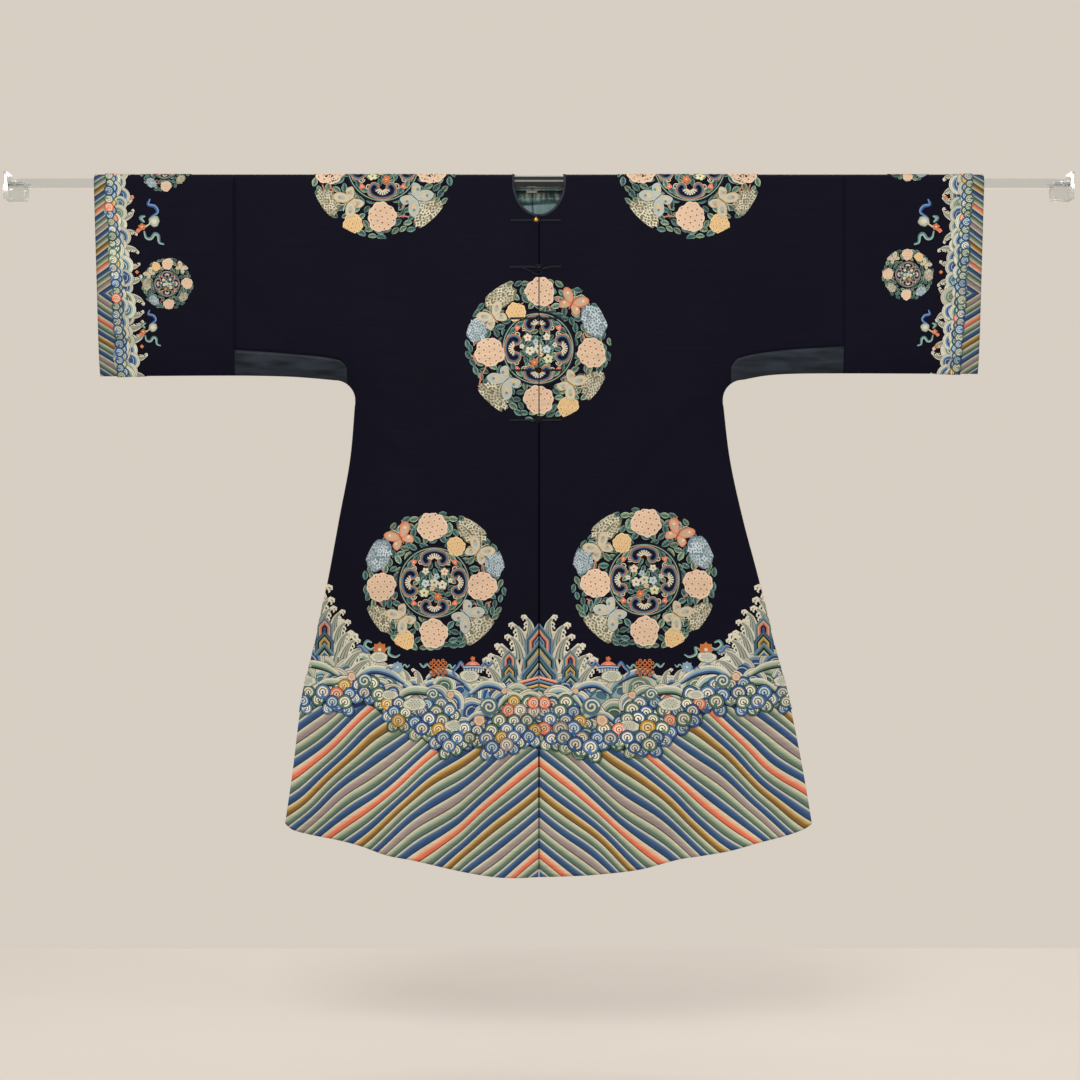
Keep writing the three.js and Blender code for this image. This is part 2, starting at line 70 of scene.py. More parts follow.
# Rows of the cloth's grid, as the panels were cut: fold, neck, satin strip, underarm, hem
FOLD_ROW, NECK_ROW, STRIP_ROW, UNDERARM_ROW, HEM_ROW = 4, 7, 12, 14, 26

SLEEVE_UNDERSIDE = {
    "out": (414, 457, 510, 615, 900),
    "left": (-400, -396, -392.5, -390.5, -392),
    "right": (-399, -391, -387, -386, -387),
}
STRIP_UPPER_EDGE = {
    "out": (389, 403, 485, 617),
    "left": (-374, -360, -348.5, -339),
    "right": (-373, -356, -341, -332),
}
SIDE_SEAM = {
    "z": (-440, -560, -680, -805, -942, -1067, -1193, -1300),
    "left": (373, 383.5, 405.5, 428.5, 457, 484, 500, 515.5),
    "right": (373, 387.5, 413.5, 446.5, 479, 511, 536, 554),
}
HEM_LINE = {
    "across": (0, 0.1, 0.2, 0.35, 0.5, 0.6, 0.7, 0.8, 0.9, 0.97, 1),
    "left": (-1401, -1403, -1399, -1386, -1366, -1357, -1342, -1329, -1319.5, -1311, -1299),
    "right": (-1401, -1400, -1397.5, -1387, -1367, -1360.5, -1351, -1336, -1323, -1310, -1300),
}
HANGING_DEPTH = {
    "z": (0, -120, -280, -446, -800, -1120, -1405),
    "body": (17.65, 17, 17, 19, 27, 36, 44),
    "sleeve": (17.65, 16, 13.5, 11.5, 11.5, 11.5, 11.5),
    "opening": (1.8, 1.8, 1.8, 1.8, 2.2, 3, 1.4),
}

# The flutes that run up from the hem: share of the way across, spread, and swell at the hem
FLUTES = {
    ("front", "left"): ((0.16, 0.09, 4), (0.36, 0.08, -6), (0.54, 0.09, 9), (0.7, 0.07, -5), (0.85, 0.08, 8)),
    ("front", "right"): ((0.2, 0.1, -4), (0.4, 0.09, 7), (0.58, 0.08, -6), (0.78, 0.1, 9)),
    ("back", "left"): ((0.24, 0.1, 7), (0.48, 0.09, -5), (0.72, 0.1, 8)),
    ("back", "right"): ((0.14, 0.08, -5), (0.34, 0.1, 8), (0.6, 0.09, -5), (0.8, 0.09, 7)),
}

# Smaller creases: where each starts and ends as x and z, how wide it is, and how far it rises or sinks
CREASES = {
    "front": (
        (-14, -84, -3, -178, 6, -3.2),
        (24, -96, 60, -210, 17, 1.2),
        (-46, -110, -120, -262, 22, 1.1),
        (-394, -300, -372, -410, 9, -1.5),
        (-333, -306, -338, -470, 12, -1.6),
        (-345, -395, -205, -470, 13, 1.7),
        (-356, -452, -236, -572, 16, 1.9),
        (-300, -520, -190, -655, 20, -1.7),
        (-548, -352, -640, -170, 24, -2.1),
        (-600, -380, -760, -260, 20, 1.6),
        (-470, -330, -520, -120, 30, 1.5),
        (352, -420, 226, -520, 15, 1.9),
        (338, -318, 330, -500, 11, -1.5),
        (394, -292, 366, -420, 9, -1.4),
        (300, -500, 176, -640, 18, -1.6),
        (520, -340, 610, -150, 26, -1.9),
        (600, -372, 742, -236, 20, 1.7),
        (448, -322, 500, -130, 28, 1.3),
        (-120, -560, -96, -790, 26, 1.4),
        (118, -590, 88, -850, 24, 1.3),
        (-250, -700, -306, -1000, 22, -1.5),
        (262, -720, 330, -1040, 24, -1.6),
    ),
    "back": (
        (-4, -40, 6, -300, 15, -2.0),
        (-60, -70, -150, -250, 24, 1.3),
        (70, -80, 140, -280, 22, 1.3),
        (-350, -400, -214, -520, 15, 1.8),
        (348, -410, 240, -505, 14, 1.8),
        (-332, -320, -340, -480, 12, -1.5),
        (340, -300, 328, -470, 11, -1.4),
        (-540, -350, -650, -160, 24, -2.0),
        (556, -348, 640, -190, 22, -1.9),
        (-700, -374, -800, -220, 20, 1.5),
        (690, -368, 780, -200, 22, 1.5),
        (-180, -560, -140, -840, 26, 1.4),
        (150, -600, 190, -880, 28, -1.4),
        (-290, -740, -330, -1020, 22, -1.5),
        (300, -700, 352, -1000, 22, 1.4),
    ),
}


# Form of the cloth

def ease(start, end, at):
    """The share of the way from start to end, eased at both ends and held past them."""
    share = np.clip((np.asarray(at, float) - start) / (end - start), 0, 1)
    return share * share * (3 - 2 * share)


def read(table, key, column, at):
    """A column at places between its rows: a cubic whose slope at a row is that between its neighbours."""
    keys = np.array(table[key], float)
    values = np.array(table[column], float)
    if keys[0] > keys[-1]:
        keys, values = keys[::-1], values[::-1]
    slopes = np.gradient(values, keys, edge_order=1)
    slopes[1:-1] = (values[2:] - values[:-2]) / (keys[2:] - keys[:-2])
    at = np.clip(np.asarray(at, float), keys[0], keys[-1])
    row = np.clip(np.searchsorted(keys, at, side="right") - 1, 0, len(keys) - 2)
    span = keys[row + 1] - keys[row]
    share = (at - keys[row]) / span
    eased = values[row] + (values[row + 1] - values[row]) * share * share * (3 - 2 * share)
    leaving = slopes[row] * span * share * (1 - share) ** 2
    arriving = slopes[row + 1] * span * share ** 2 * (1 - share)
    return eased + leaving - arriving


def underside_z(half, out):
    """Height of the sleeve's underside, a quarter circle where it turns into the side."""
    corner_out = UNDERARM_OUT + UNDERARM_RADIUS
    centre_z = read(SLEEVE_UNDERSIDE, "out", half, corner_out) - UNDERARM_RADIUS
    inside = np.clip(corner_out - np.asarray(out, float), 0, UNDERARM_RADIUS)
    on_arc = centre_z + np.sqrt(UNDERARM_RADIUS ** 2 - inside ** 2)
    below = np.where(out <= UNDERARM_OUT, UNDERARM_Z, on_arc)
    return np.where(out >= corner_out, read(SLEEVE_UNDERSIDE, "out", half, out), below)


def cuff_slant(half, z):
    """How far the cuff's edge has come in at a height."""
    return (CUFF_TOP_OUT - CUFF_BOTTOM_OUT) * z / underside_z(half, CUFF_TOP_OUT)


def crease_depth(face, x, z):
    """Sum over the creases: a rounded ridge or trough along a line, eased out at both ends."""
    total = np.zeros(np.broadcast(x, z).shape)
    for x0, z0, x1, z1, width, rise in CREASES[face]:
        length = np.hypot(x1 - x0, z1 - z0)
        along = ((x - x0) * (x1 - x0) + (z - z0) * (z1 - z0)) / length
        across = ((x - x0) * (z1 - z0) - (z - z0) * (x1 - x0)) / length
        bow = 0.06 * length * np.sin(np.pi * np.clip(along / length, 0, 1))
        ends = ease(-width, 0.4 * length, along) * ease(length + width, 0.6 * length, along)
        total += rise * ends * np.exp(-(((across - bow) / width) ** 2))
    return total * ease(-20, -90, z)


def half_depth(half, face, out, z):
    """Half the robe's depth: a quarter ellipse in from the closed edge, with the flutes and creases."""
    corner_out = read(SIDE_SEAM, "z", half, z) + UNDERARM_RADIUS
    corner_z = read(SLEEVE_UNDERSIDE, "out", half, out) - UNDERARM_RADIUS
    past_side = np.maximum(corner_out - out, 0)
    past_underside = np.maximum(z - corner_z, 0)
    distance = np.hypot(past_side, past_underside) - UNDERARM_RADIUS
    inward = np.clip(distance / EDGE_ROUNDING, 0, 1)
    swelling = np.sqrt(1 - (1 - inward) ** 2)
    on_sleeve = ease(ARM_START, ARM_FULL, out)
    body = read(HANGING_DEPTH, "z", "body", z)
    sleeve = read(HANGING_DEPTH, "z", "sleeve", z)
    depth = body + (sleeve - body) * on_sleeve
    across = out / read(SIDE_SEAM, "z", half, z)
    flute = sum(swell * np.exp(-(((across - at) / spread) ** 2)) for at, spread, swell in FLUTES[face, half])
    depth = depth + flute * ease(HEM_FLARE_TOP, HEM_CENTRE_Z, z)
    return swelling * (depth + crease_depth(face, MIRROR[half] * out, z))


def cloth_point(x, run):
    """A point of the outer face by x and by the run down from the fold, front positive, back negative."""
    x, run = np.broadcast_arrays(np.asarray(x, float), np.asarray(run, float))
    toward = np.where(run >= 0, -1.0, 1.0)
    down = np.abs(run)
    turn = np.minimum(down, FOLD_RUN) / FOLD_RADIUS
    z = np.where(down <= FOLD_RUN, FOLD_RADIUS * np.cos(turn), FOLD_RUN - down)
    hanging = np.minimum(z, 0)
    depth = np.empty(x.shape)
    for half in ("left", "right"):
        for face in ("front", "back"):
            here = ((x < 0) == (half == "left")) & ((run >= 0) == (face == "front"))
            depth[here] = half_depth(half, face, np.abs(x[here]), hanging[here])
    depth = np.where(down <= FOLD_RUN, FOLD_RADIUS * np.sin(turn), depth)
    return np.stack([x, toward * depth, z], -1)


def on_cloth(x, run, lift):
    """The same point moved off the cloth along its normal, found by small steps along x and run."""
    step = 0.5
    along_x = cloth_point(x + step, run) - cloth_point(x - step, run)
    along_run = cloth_point(x, run + step) - cloth_point(x, run - step)
    normal = np.cross(along_run, along_x)
    normal /= np.linalg.norm(normal, axis=-1, keepdims=True)
    return cloth_point(x, run) + normal * np.asarray(lift, float)[..., None]


# Meshes

def new_piece(name, points, faces, materials, uv=None, replaces=()):
    """A piece from points in millimetres and faces as rows of indices, with its materials and flat map."""
    mesh = bpy.data.meshes.new(name)
    points = np.asarray(points, float).reshape(-1, 3) * METRES
    faces = [np.asarray(group, np.int32) for group in (faces if isinstance(faces, list) else [faces])]
    loops = np.concatenate([group.ravel() for group in faces])
    sizes = np.concatenate([np.full(len(group), group.shape[1], np.int32) for group in faces])
    starts = np.concatenate([[0], np.cumsum(sizes)[:-1]]).astype(np.int32)
    mesh.vertices.add(len(points))
    mesh.vertices.foreach_set("co", points.ravel())
    mesh.loops.add(len(loops))
    mesh.loops.foreach_set("vertex_index", loops)
    mesh.polygons.add(len(sizes))
    mesh.polygons.foreach_set("loop_start", starts)
    mesh.polygons.foreach_set("loop_total", sizes)
    mesh.polygons.foreach_set("use_smooth", np.ones(len(sizes), bool))
    if uv is not None:
        layer = mesh.uv_layers.new(name="Flat")
        layer.data.foreach_set("uv", (np.asarray(uv, float)[loops] * METRES).astype(np.float32).ravel())
    mesh.update(calc_edges=True)
    mesh.validate()
    for material in materials:
        mesh.materials.append(material)
    piece = bpy.data.objects.new(name, mesh)
    bpy.context.scene.collection.objects.link(piece)
    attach(piece, "root")
    if replaces:
        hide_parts(*replaces)
    return piece


def thicken(piece, thickness, offset):
    """A piece given a thickness in millimetres: inwards where the offset is -1, both ways where it is 0."""
    wall = piece.modifiers.new("Thickness", "SOLIDIFY")
    wall.thickness = thickness * METRES
    wall.offset = offset
    return wall


def grid_faces(rows, columns, closed=False):
    """Four-sided faces of a grid whose points run along each row, joined end to end if closed."""
    down = np.arange(rows - 1)[:, None] * columns
    over = np.arange(columns if closed else columns - 1)[None, :]
    after = (over + 1) % columns
    corners = [down + over, down + columns + over, down + columns + after, down + after]
    return np.stack(corners, -1).reshape(-1, 4)


def weld(points, faces):
    """Points that lie together within a thousandth of a millimetre become one."""
    keys = np.round(points * 1000).astype(np.int64)
    _, first, merged = np.unique(keys, axis=0, return_index=True, return_inverse=True)
    return first, merged.reshape(-1)[faces]


def tube(path, radius, sides=8):
    """A round section carried along a path, its ends closed by a ring drawn in to a point.

    Each ring lies across the path's direction, turned least from the one before it by taking the
    section's first axis from a fixed side vector."""
    path = np.asarray(path, float)
    radius = np.broadcast_to(np.asarray(radius, float), len(path))
    direction = np.gradient(path, axis=0)
    direction /= np.linalg.norm(direction, axis=1, keepdims=True)
    side = np.array([0.0, -1.0, 0.02])
    first = np.cross(direction, side)
    first /= np.linalg.norm(first, axis=1, keepdims=True)
    second = np.cross(direction, first)
    angle = np.arange(sides) * CIRCLE / sides
    ring = np.cos(angle)[None, :, None] * first[:, None] + np.sin(angle)[None, :, None] * second[:, None]
    points = (path[:, None] + ring * radius[:, None, None]).reshape(-1, 3)
    count = len(path) * sides
    start_tip = path[0] - direction[0] * radius[0] * 0.6
    end_tip = path[-1] + direction[-1] * radius[-1] * 0.6
    points = np.vstack([points, start_tip, end_tip])
    walls = grid_faces(len(path), sides, closed=True)
    around = np.arange(sides)
    after = (around + 1) % sides
    start_cap = np.stack([np.full(sides, count), around, after], -1)
    end_cap = np.stack([np.full(sides, count + 1), count - sides + after, count - sides + around], -1)
    return points, [walls, np.vstack([start_cap, end_cap])]


def curved_spans(points, per_span):
    """Points on the cubics that run through all but the end ones, per_span to each span."""
    share = np.arange(per_span)[None, :, None] / per_span
    a, b, c, d = (points[step:len(points) - 3 + step, None] for step in range(4))
    curve = 0.5 * (2 * b + (c - a) * share + (2 * a - 5 * b + 4 * c - d) * share ** 2
                   + (3 * b - a - 3 * c + d) * share ** 3)
    return curve.reshape(-1, points.shape[1])


def smooth_path(points, per_span=6):
    """A path through given points: at each span the cubic whose end slopes join the neighbours."""
    points = np.asarray(points, float)
    before, after = 2 * points[0] - points[1], 2 * points[-1] - points[-2]
    return np.vstack([curved_spans(np.vstack([before, points, after]), per_span), points[-1:]])


def closed_path(points, per_span=3):
    """A smooth closed outline through given points."""
    points = np.asarray(points, float)
    return curved_spans(np.vstack([points[-1], points, points[:2]]), per_span)


def joined(parts):
    """Several pieces' points and face groups as one."""
    points, groups, start = [], {}, 0
    for part_points, part_faces in parts:
        for group in part_faces if isinstance(part_faces, list) else [part_faces]:
            groups.setdefault(group.shape[1], []).append(np.asarray(group) + start)
        points.append(np.asarray(part_points, float).reshape(-1, 3))
        start += len(points[-1])
    return np.vstack(points), [np.vstack(group) for group in groups.values()]


# Shader building

def linear(swatches):
    """Dyer's swatches from 0 to 255 made linear for a shader."""
    share = np.asarray(swatches, float) / 255
    return np.where(share <= 0.04045, share / 12.92, ((share + 0.055) / 1.055) ** 2.4)


def dye(red, green, blue):
    """One swatch as a shader's colour."""
    return (*linear((red, green, blue)).tolist(), 1.0)


def fill(tree, socket, value):
    """A socket given a value, or linked to another node's output."""
    if isinstance(value, bpy.types.NodeSocket):
        tree.links.new(value, socket)
    else:
        socket.default_value = value


def add_node(tree, kind, sockets=None, **settings):
    """A node with its settings and its sockets filled."""
    made = tree.nodes.new(kind)
    for name, value in settings.items():
        setattr(made, name, value)
    for key, value in (sockets or {}).items():
        fill(tree, made.inputs[key], value)
    return made


def calc(tree, operation, *values):
    """The output of one Math node."""
    return add_node(tree, "ShaderNodeMath", dict(enumerate(values)), operation=operation).outputs[0]


def remap(tree, value, start, end, low=0.0, high=1.0, kind="LINEAR"):
    """A value's stretch from start to end laid on that from low to high, and held past them."""
    return add_node(tree, "ShaderNodeMapRange", {
        "Value": value, "From Min": start, "From Max": end, "To Min": low, "To Max": high},
        interpolation_type=kind).outputs[0]


def noise(tree, place, scale, detail):
    """The value of one Noise node."""
    return add_node(tree, "ShaderNodeTexNoise", {
        "Vector": place, "Scale": scale, "Detail": detail}).outputs[0]


def stretched(tree, place, scale, turn=0.0):
    """A place scaled along each axis and turned about Y."""
    return add_node(tree, "ShaderNodeMapping", {
        "Vector": place, "Scale": scale, "Rotation": (0.0, turn, 0.0)}).outputs[0]


def axes(tree, place):
    """The X, Y and Z of a place."""
    return add_node(tree, "ShaderNodeSeparateXYZ", {0: place}).outputs


def shaded(tree, colour, level):
    """A colour times a level."""
    return add_node(tree, "ShaderNodeVectorMath", {0: colour, "Scale": level}, operation="SCALE").outputs[0]


def mix_colour(tree, factor, first, second):
    """The output of one colour Mix node."""
    made = add_node(tree, "ShaderNodeMix", data_type="RGBA")
    wanted = {"Factor_Float": factor, "A_Color": first, "B_Color": second}
    for socket in made.inputs:
        if socket.identifier in wanted:
            fill(tree, socket, wanted[socket.identifier])
    return next(s for s in made.outputs if s.identifier == "Result_Color")


def give(tree, shader, looks):
    """A shader's sockets filled by name."""
    for label, value in looks.items():
        fill(tree, shader.inputs[label], value)


def new_group(name, inputs, outputs):
    """An empty shader node group with named sockets, and its input and output nodes."""
    tree = bpy.data.node_groups.new(name, "ShaderNodeTree")
    kinds = {"vector": "NodeSocketVector", "value": "NodeSocketFloat", "colour": "NodeSocketColor"}
    for way, sockets in (("INPUT", inputs), ("OUTPUT", outputs)):
        for label, kind in sockets.items():
            tree.interface.new_socket(name=label, in_out=way, socket_type=kinds[kind])
    return tree, tree.nodes.new("NodeGroupInput").outputs, tree.nodes.new("NodeGroupOutput").inputs


def use_group(tree, group, sockets):
    """The outputs of a group placed in a material with its own values."""
    return add_node(tree, "ShaderNodeGroup", sockets, node_tree=group).outputs


def weft_group():
    """Tapestry weave: fine ribs across the cloth, packed unevenly, and long faint streaks of weft."""
    tree, given, made = new_group(
        "Tapestry weft", {"Flat Place": "vector", "Ribs per Metre": "value", "Streaks": "value"},
        {"Height": "value", "Streak": "value"})
    place = given["Flat Place"]
    ribs = calc(tree, "MULTIPLY", axes(tree, place)["Y"], given["Ribs per Metre"])
    bent = calc(tree, "MULTIPLY_ADD", noise(tree, place, 90.0, 2.0), 1.6, ribs)
    ridges = calc(tree, "SINE", calc(tree, "MULTIPLY", bent, CIRCLE))
    streak = noise(tree, stretched(tree, place, (5.0, 210.0, 1.0)), 1.0, 3.0)
    centred = calc(tree, "SUBTRACT", streak, 0.5)
    fill(tree, made["Height"], calc(tree, "MULTIPLY_ADD", ridges, 0.5, centred))
    fill(tree, made["Streak"], calc(tree, "MULTIPLY", centred, given["Streaks"]))
    return tree


def dye_group():
    """Uneven dye and handling: the colour is lightened or darkened by broad patches and by a streak."""
    tree, given, made = new_group(
        "Uneven dye", {"Colour": "colour", "Place": "vector", "Patches": "value", "Streak": "value"},
        {"Colour": "colour", "Patch": "value"})
    fine = calc(tree, "MULTIPLY", noise(tree, given["Place"], 60.0, 3.0), 0.3)
    both = calc(tree, "MULTIPLY_ADD", noise(tree, given["Place"], 5.5, 4.0), 0.7, fine)
    centred = calc(tree, "SUBTRACT", both, 0.5)
    level = calc(tree, "MULTIPLY_ADD", centred, given["Patches"], given["Streak"])
    fill(tree, made["Colour"], shaded(tree, given["Colour"], calc(tree, "ADD", level, 1.0)))
    fill(tree, made["Patch"], both)
    return tree


# Dyes of the tapestry
NAVY, DARK_LINE, CREAM = (12, 12, 28), (36, 40, 50), (216, 212, 194)
SALMON, SALMON_LIGHT = (222, 128, 103), (238, 176, 150)
SAGE, SAGE_LIGHT, SAGE_DARK = (150, 170, 145), (190, 202, 176), (84, 112, 100)
BLUE, BLUE_LIGHT, BLUE_DARK = (62, 92, 140), (128, 160, 184), (36, 50, 88)
GOLD, GOLD_LIGHT = (184, 144, 66), (214, 184, 116)
LAVENDER = (156, 142, 142)

# One cycle of the standing water, from its upper edge down: upper and lower dye of each stripe
SALMON_STRIPE = ((224, 186, 156), (224, 112, 82))
GREEN_STRIPE = ((176, 184, 156), (92, 118, 106))
BLUE_STRIPE = ((82, 112, 152), (50, 78, 120))
GOLD_STRIPE = ((198, 160, 92), (128, 96, 50))
GREY_STRIPE = ((176, 164, 156), (146, 132, 130))
STRIPES = (SALMON_STRIPE, GREEN_STRIPE, BLUE_STRIPE, GOLD_STRIPE, GREEN_STRIPE, BLUE_STRIPE,
           GREY_STRIPE, GREEN_STRIPE, BLUE_STRIPE)
STRIPE_EDGE = (208, 208, 186)
# Slope and cycle of the stripes in metres, and the line in from which the cuff's stripes end
HEM_SLOPE, HEM_CYCLE = 0.80, 0.1847
CUFF_SLOPE, CUFF_CYCLE, CUFF_MIDDLE_Z = 0.70, 0.122, -0.225
CYCLE_START = 50.73
CUFF_LINE_OUT, CUFF_LINE_SLANT = 870, 0.062


def stripe_ramp(tree, cycle, tone):
    """The upper or lower dye of the stripe at a place in the cycle, from a stepped ramp."""
    ramp = tree.nodes.new("ShaderNodeValToRGB")
    ramp.color_ramp.interpolation = "CONSTANT"
    width = 1 / len(STRIPES)
    for index, tones in enumerate(STRIPES[1:-1], 1):
        ramp.color_ramp.elements.new(index * width).color = dye(*tones[tone])
    ramp.color_ramp.elements[0].color = dye(*STRIPES[0][tone])
    ramp.color_ramp.elements[-1].position = 1 - width
    ramp.color_ramp.elements[-1].color = dye(*STRIPES[-1][tone])
    tree.links.new(cycle, ramp.inputs[0])
    return ramp.outputs[0]


def water_group():
    """Standing water: slanting wavy stripes at the hem and cuffs, in one repeating cycle of colours.

    The place along the cycle is the height plus a slope times the distance out, bent by a slow wave,
    divided by the cycle's length. Its remainder picks the stripe from two stepped ramps, of upper and lower
    dyes. Each stripe goes from a cream upper edge through both dyes to a dark line."""
    tree, given, made = new_group(
        "Standing water", {"Place": "vector"}, {"Colour": "colour", "Mask": "value"})
    place = axes(tree, given["Place"])
    out, height = calc(tree, "ABSOLUTE", place["X"]), place["Z"]
    on_arm = calc(tree, "GREATER_THAN", out, 0.7)
    loose = calc(tree, "SUBTRACT", noise(tree, given["Place"], 5.0, 1.0), 0.5)
    slow = calc(tree, "SINE", calc(tree, "MULTIPLY_ADD", out, 38.0, calc(tree, "MULTIPLY", height, 16.0)))
    bend = calc(tree, "MULTIPLY_ADD", slow, 0.0062, calc(tree, "MULTIPLY", loose, 0.030))
    bend = calc(tree, "MULTIPLY", bend, remap(tree, out, 0.0, 0.16))
    at_hem = calc(tree, "MULTIPLY_ADD", out, -HEM_SLOPE, calc(tree, "SUBTRACT", bend, height))
    hem_share = calc(tree, "DIVIDE", at_hem, HEM_CYCLE)
    from_middle = calc(tree, "ABSOLUTE", calc(tree, "SUBTRACT", height, CUFF_MIDDLE_Z))
    in_from_edge = calc(tree, "SUBTRACT", CUFF_TOP_OUT * METRES, out)
    at_cuff = calc(tree, "MULTIPLY_ADD", in_from_edge, -CUFF_SLOPE, from_middle)
    cuff_share = calc(tree, "DIVIDE", calc(tree, "MULTIPLY_ADD", bend, 0.3, at_cuff), CUFF_CYCLE)
    share = calc(tree, "MULTIPLY_ADD", on_arm, calc(tree, "SUBTRACT", cuff_share, hem_share), hem_share)
    cycle = calc(tree, "FRACT", calc(tree, "ADD", share, CYCLE_START))
    upper, lower = (stripe_ramp(tree, cycle, tone) for tone in (0, 1))
    within = calc(tree, "FRACT", calc(tree, "MULTIPLY", cycle, float(len(STRIPES))))
    colour = mix_colour(tree, remap(tree, within, 0.22, 0.70, kind="SMOOTHSTEP"), upper, lower)
    pale = remap(tree, within, 0.12, 0.30, 0.85, 0.0, "SMOOTHSTEP")
    dark = remap(tree, within, 0.82, 0.96, 0.0, 0.92, "SMOOTHSTEP")
    colour = mix_colour(tree, pale, colour, dye(*STRIPE_EDGE))
    colour = mix_colour(tree, dark, colour, dye(*DARK_LINE))
    hem_edge = remap(tree, out, 0.19, 0.36, -1.136, -1.050, "SMOOTHSTEP")
    cuff_edge = calc(tree, "MULTIPLY_ADD", height, CUFF_LINE_SLANT, CUFF_LINE_OUT * METRES)
    on_hem = calc(tree, "LESS_THAN", height, hem_edge)
    on_cuff = calc(tree, "GREATER_THAN", out, cuff_edge)
    fill(tree, made["Colour"], shaded(tree, colour, calc(tree, "MULTIPLY_ADD", on_arm, -0.32, 1.0)))
    fill(tree, made["Mask"], calc(tree, "MAXIMUM", on_hem, on_cuff))
    return tree


weft = weft_group()
uneven_dye = dye_group()
water = water_group()


def new_material(name):
    """A material with its Principled shader joined to the output, and the object's own coordinates."""
    material = bpy.data.materials.new(name)
    material.use_nodes = True
    tree = material.node_tree
    tree.nodes.clear()
    shader = tree.nodes.new("ShaderNodeBsdfPrincipled")
    tree.links.new(shader.outputs[0], tree.nodes.new("ShaderNodeOutputMaterial").inputs["Surface"])
    return material, tree, shader, tree.nodes.new("ShaderNodeTexCoord").outputs["Object"]


def set_look(tree, shader, place, colour, patches, streak, rough, height, strength, distance=0.0003):
    """A shader's colour, unevenly dyed, its roughness and its bump.

    Given as a pair, the roughness goes from one to the other with the patches of dye."""
    dyed = use_group(tree, uneven_dye, {
        "Colour": colour, "Place": place, "Patches": patches, "Streak": streak})
    if isinstance(rough, tuple):
        rough = remap(tree, dyed["Patch"], 0.0, 1.0, *rough)
    bump = add_node(tree, "ShaderNodeBump", {"Height": height, "Strength": strength, "Distance": distance})
    give(tree, shader, {"Base Color": dyed["Colour"], "Roughness": rough, "Normal": bump.outputs[0]})


def silk_material():
    """The tapestry's navy ground with its striped water, ribbed by the weft, with a low silk sheen."""
    material, tree, shader, place = new_material("kesi silk")
    flat = add_node(tree, "ShaderNodeUVMap", uv_map="Flat").outputs[0]
    weave = use_group(tree, weft, {"Flat Place": flat, "Ribs per Metre": 1400.0, "Streaks": 0.42})
    stripes = use_group(tree, water, {"Place": place})
    colour = mix_colour(tree, stripes["Mask"], dye(*NAVY), stripes["Colour"])
    set_look(tree, shader, place, colour, 0.6, weave["Streak"], (0.50, 0.72), weave["Height"], 0.35)
    give(tree, shader, {"Specular IOR Level": 0.06, "Sheen Weight": 0.010, "Sheen Roughness": 0.45,
                        "Sheen Tint": dye(120, 126, 168)})
    return material


def motif_material():
    """Tapestry silk of the motifs: each patch in its own dye, ribbed and streaked as the ground is."""
    material, tree, shader, place = new_material("motif silk")
    flat = add_node(tree, "ShaderNodeUVMap", uv_map="Flat").outputs[0]
    own_dye = add_node(tree, "ShaderNodeVertexColor", layer_name="Dye").outputs[0]
    weave = use_group(tree, weft, {"Flat Place": flat, "Ribs per Metre": 1400.0, "Streaks": 0.25})
    set_look(tree, shader, place, own_dye, 0.6, weave["Streak"], (0.52, 0.74), weave["Height"], 0.35)
    give(tree, shader, {"Specular IOR Level": 0.07, "Sheen Weight": 0.02})
    return material


def lining_material():
    """Thin teal silk: a dark facing over the top, slanting folds below it in painted shade and painted
    highlights, and a paler flat stretch.

    At the front opening, below the neck, it is dark where it lies in the shade of the fronts."""
    material, tree, shader, place = new_material("lining silk")
    at = axes(tree, place)
    out, height = calc(tree, "ABSOLUTE", at["X"]), at["Z"]
    # Painted highlights: pale streaks along the slanting folds, brightest near the top, over a dark teal
    # painted shade.
    gloss = noise(tree, stretched(tree, place, (110.0, 1.0, 22.0), 0.35), 1.0, 2.0)
    painted_fold_highlight = calc(tree, "MULTIPLY", remap(tree, gloss, 0.44, 0.74), remap(tree, height, -0.040, -0.016))
    folds = mix_colour(tree, painted_fold_highlight, dye(44, 72, 76), dye(168, 188, 172))
    roll = remap(tree, calc(tree, "MULTIPLY_ADD", at["X"], -0.06, height), -0.0430, -0.0405)
    colour = mix_colour(tree, roll, dye(104, 134, 138), folds)
    # Painted shade: a narrow dark streak down one fold's crease, near the front opening.
    from_crease = calc(tree, "ABSOLUTE", calc(tree, "ADD", at["X"], 0.0135))
    crease = remap(tree, from_crease, 0.0006, 0.0026, 0.75, 0.0)
    painted_crease_shading = calc(tree, "MULTIPLY", crease, calc(tree, "LESS_THAN", out, 0.06))
    colour = mix_colour(tree, painted_crease_shading, colour, dye(26, 44, 48))
    # A painted grey glint line across the dark facing, a little above the rod's middle.
    painted_glint_line = calc(tree, "COMPARE", height, 0.0015, 0.0016)
    faced = mix_colour(tree, painted_glint_line, dye(30, 42, 46), dye(92, 98, 102))
    on_facing = calc(tree, "MULTIPLY", calc(tree, "GREATER_THAN", height, -0.0165),
                     calc(tree, "LESS_THAN", out, 0.085))
    colour = mix_colour(tree, on_facing, colour, faced)
    in_slit = calc(tree, "MULTIPLY", calc(tree, "LESS_THAN", out, 0.007),
                   calc(tree, "LESS_THAN", height, -0.0605))
    colour = mix_colour(tree, in_slit, colour, dye(14, 16, 24))
    threads = noise(tree, stretched(tree, place, (260.0, 260.0, 24.0)), 4.0, 2.0)
    set_look(tree, shader, place, colour, 0.4, 0.0, (0.24, 0.42), threads, 0.25, 0.0004)
    give(tree, shader, {"Specular IOR Level": 0.3})
    return material


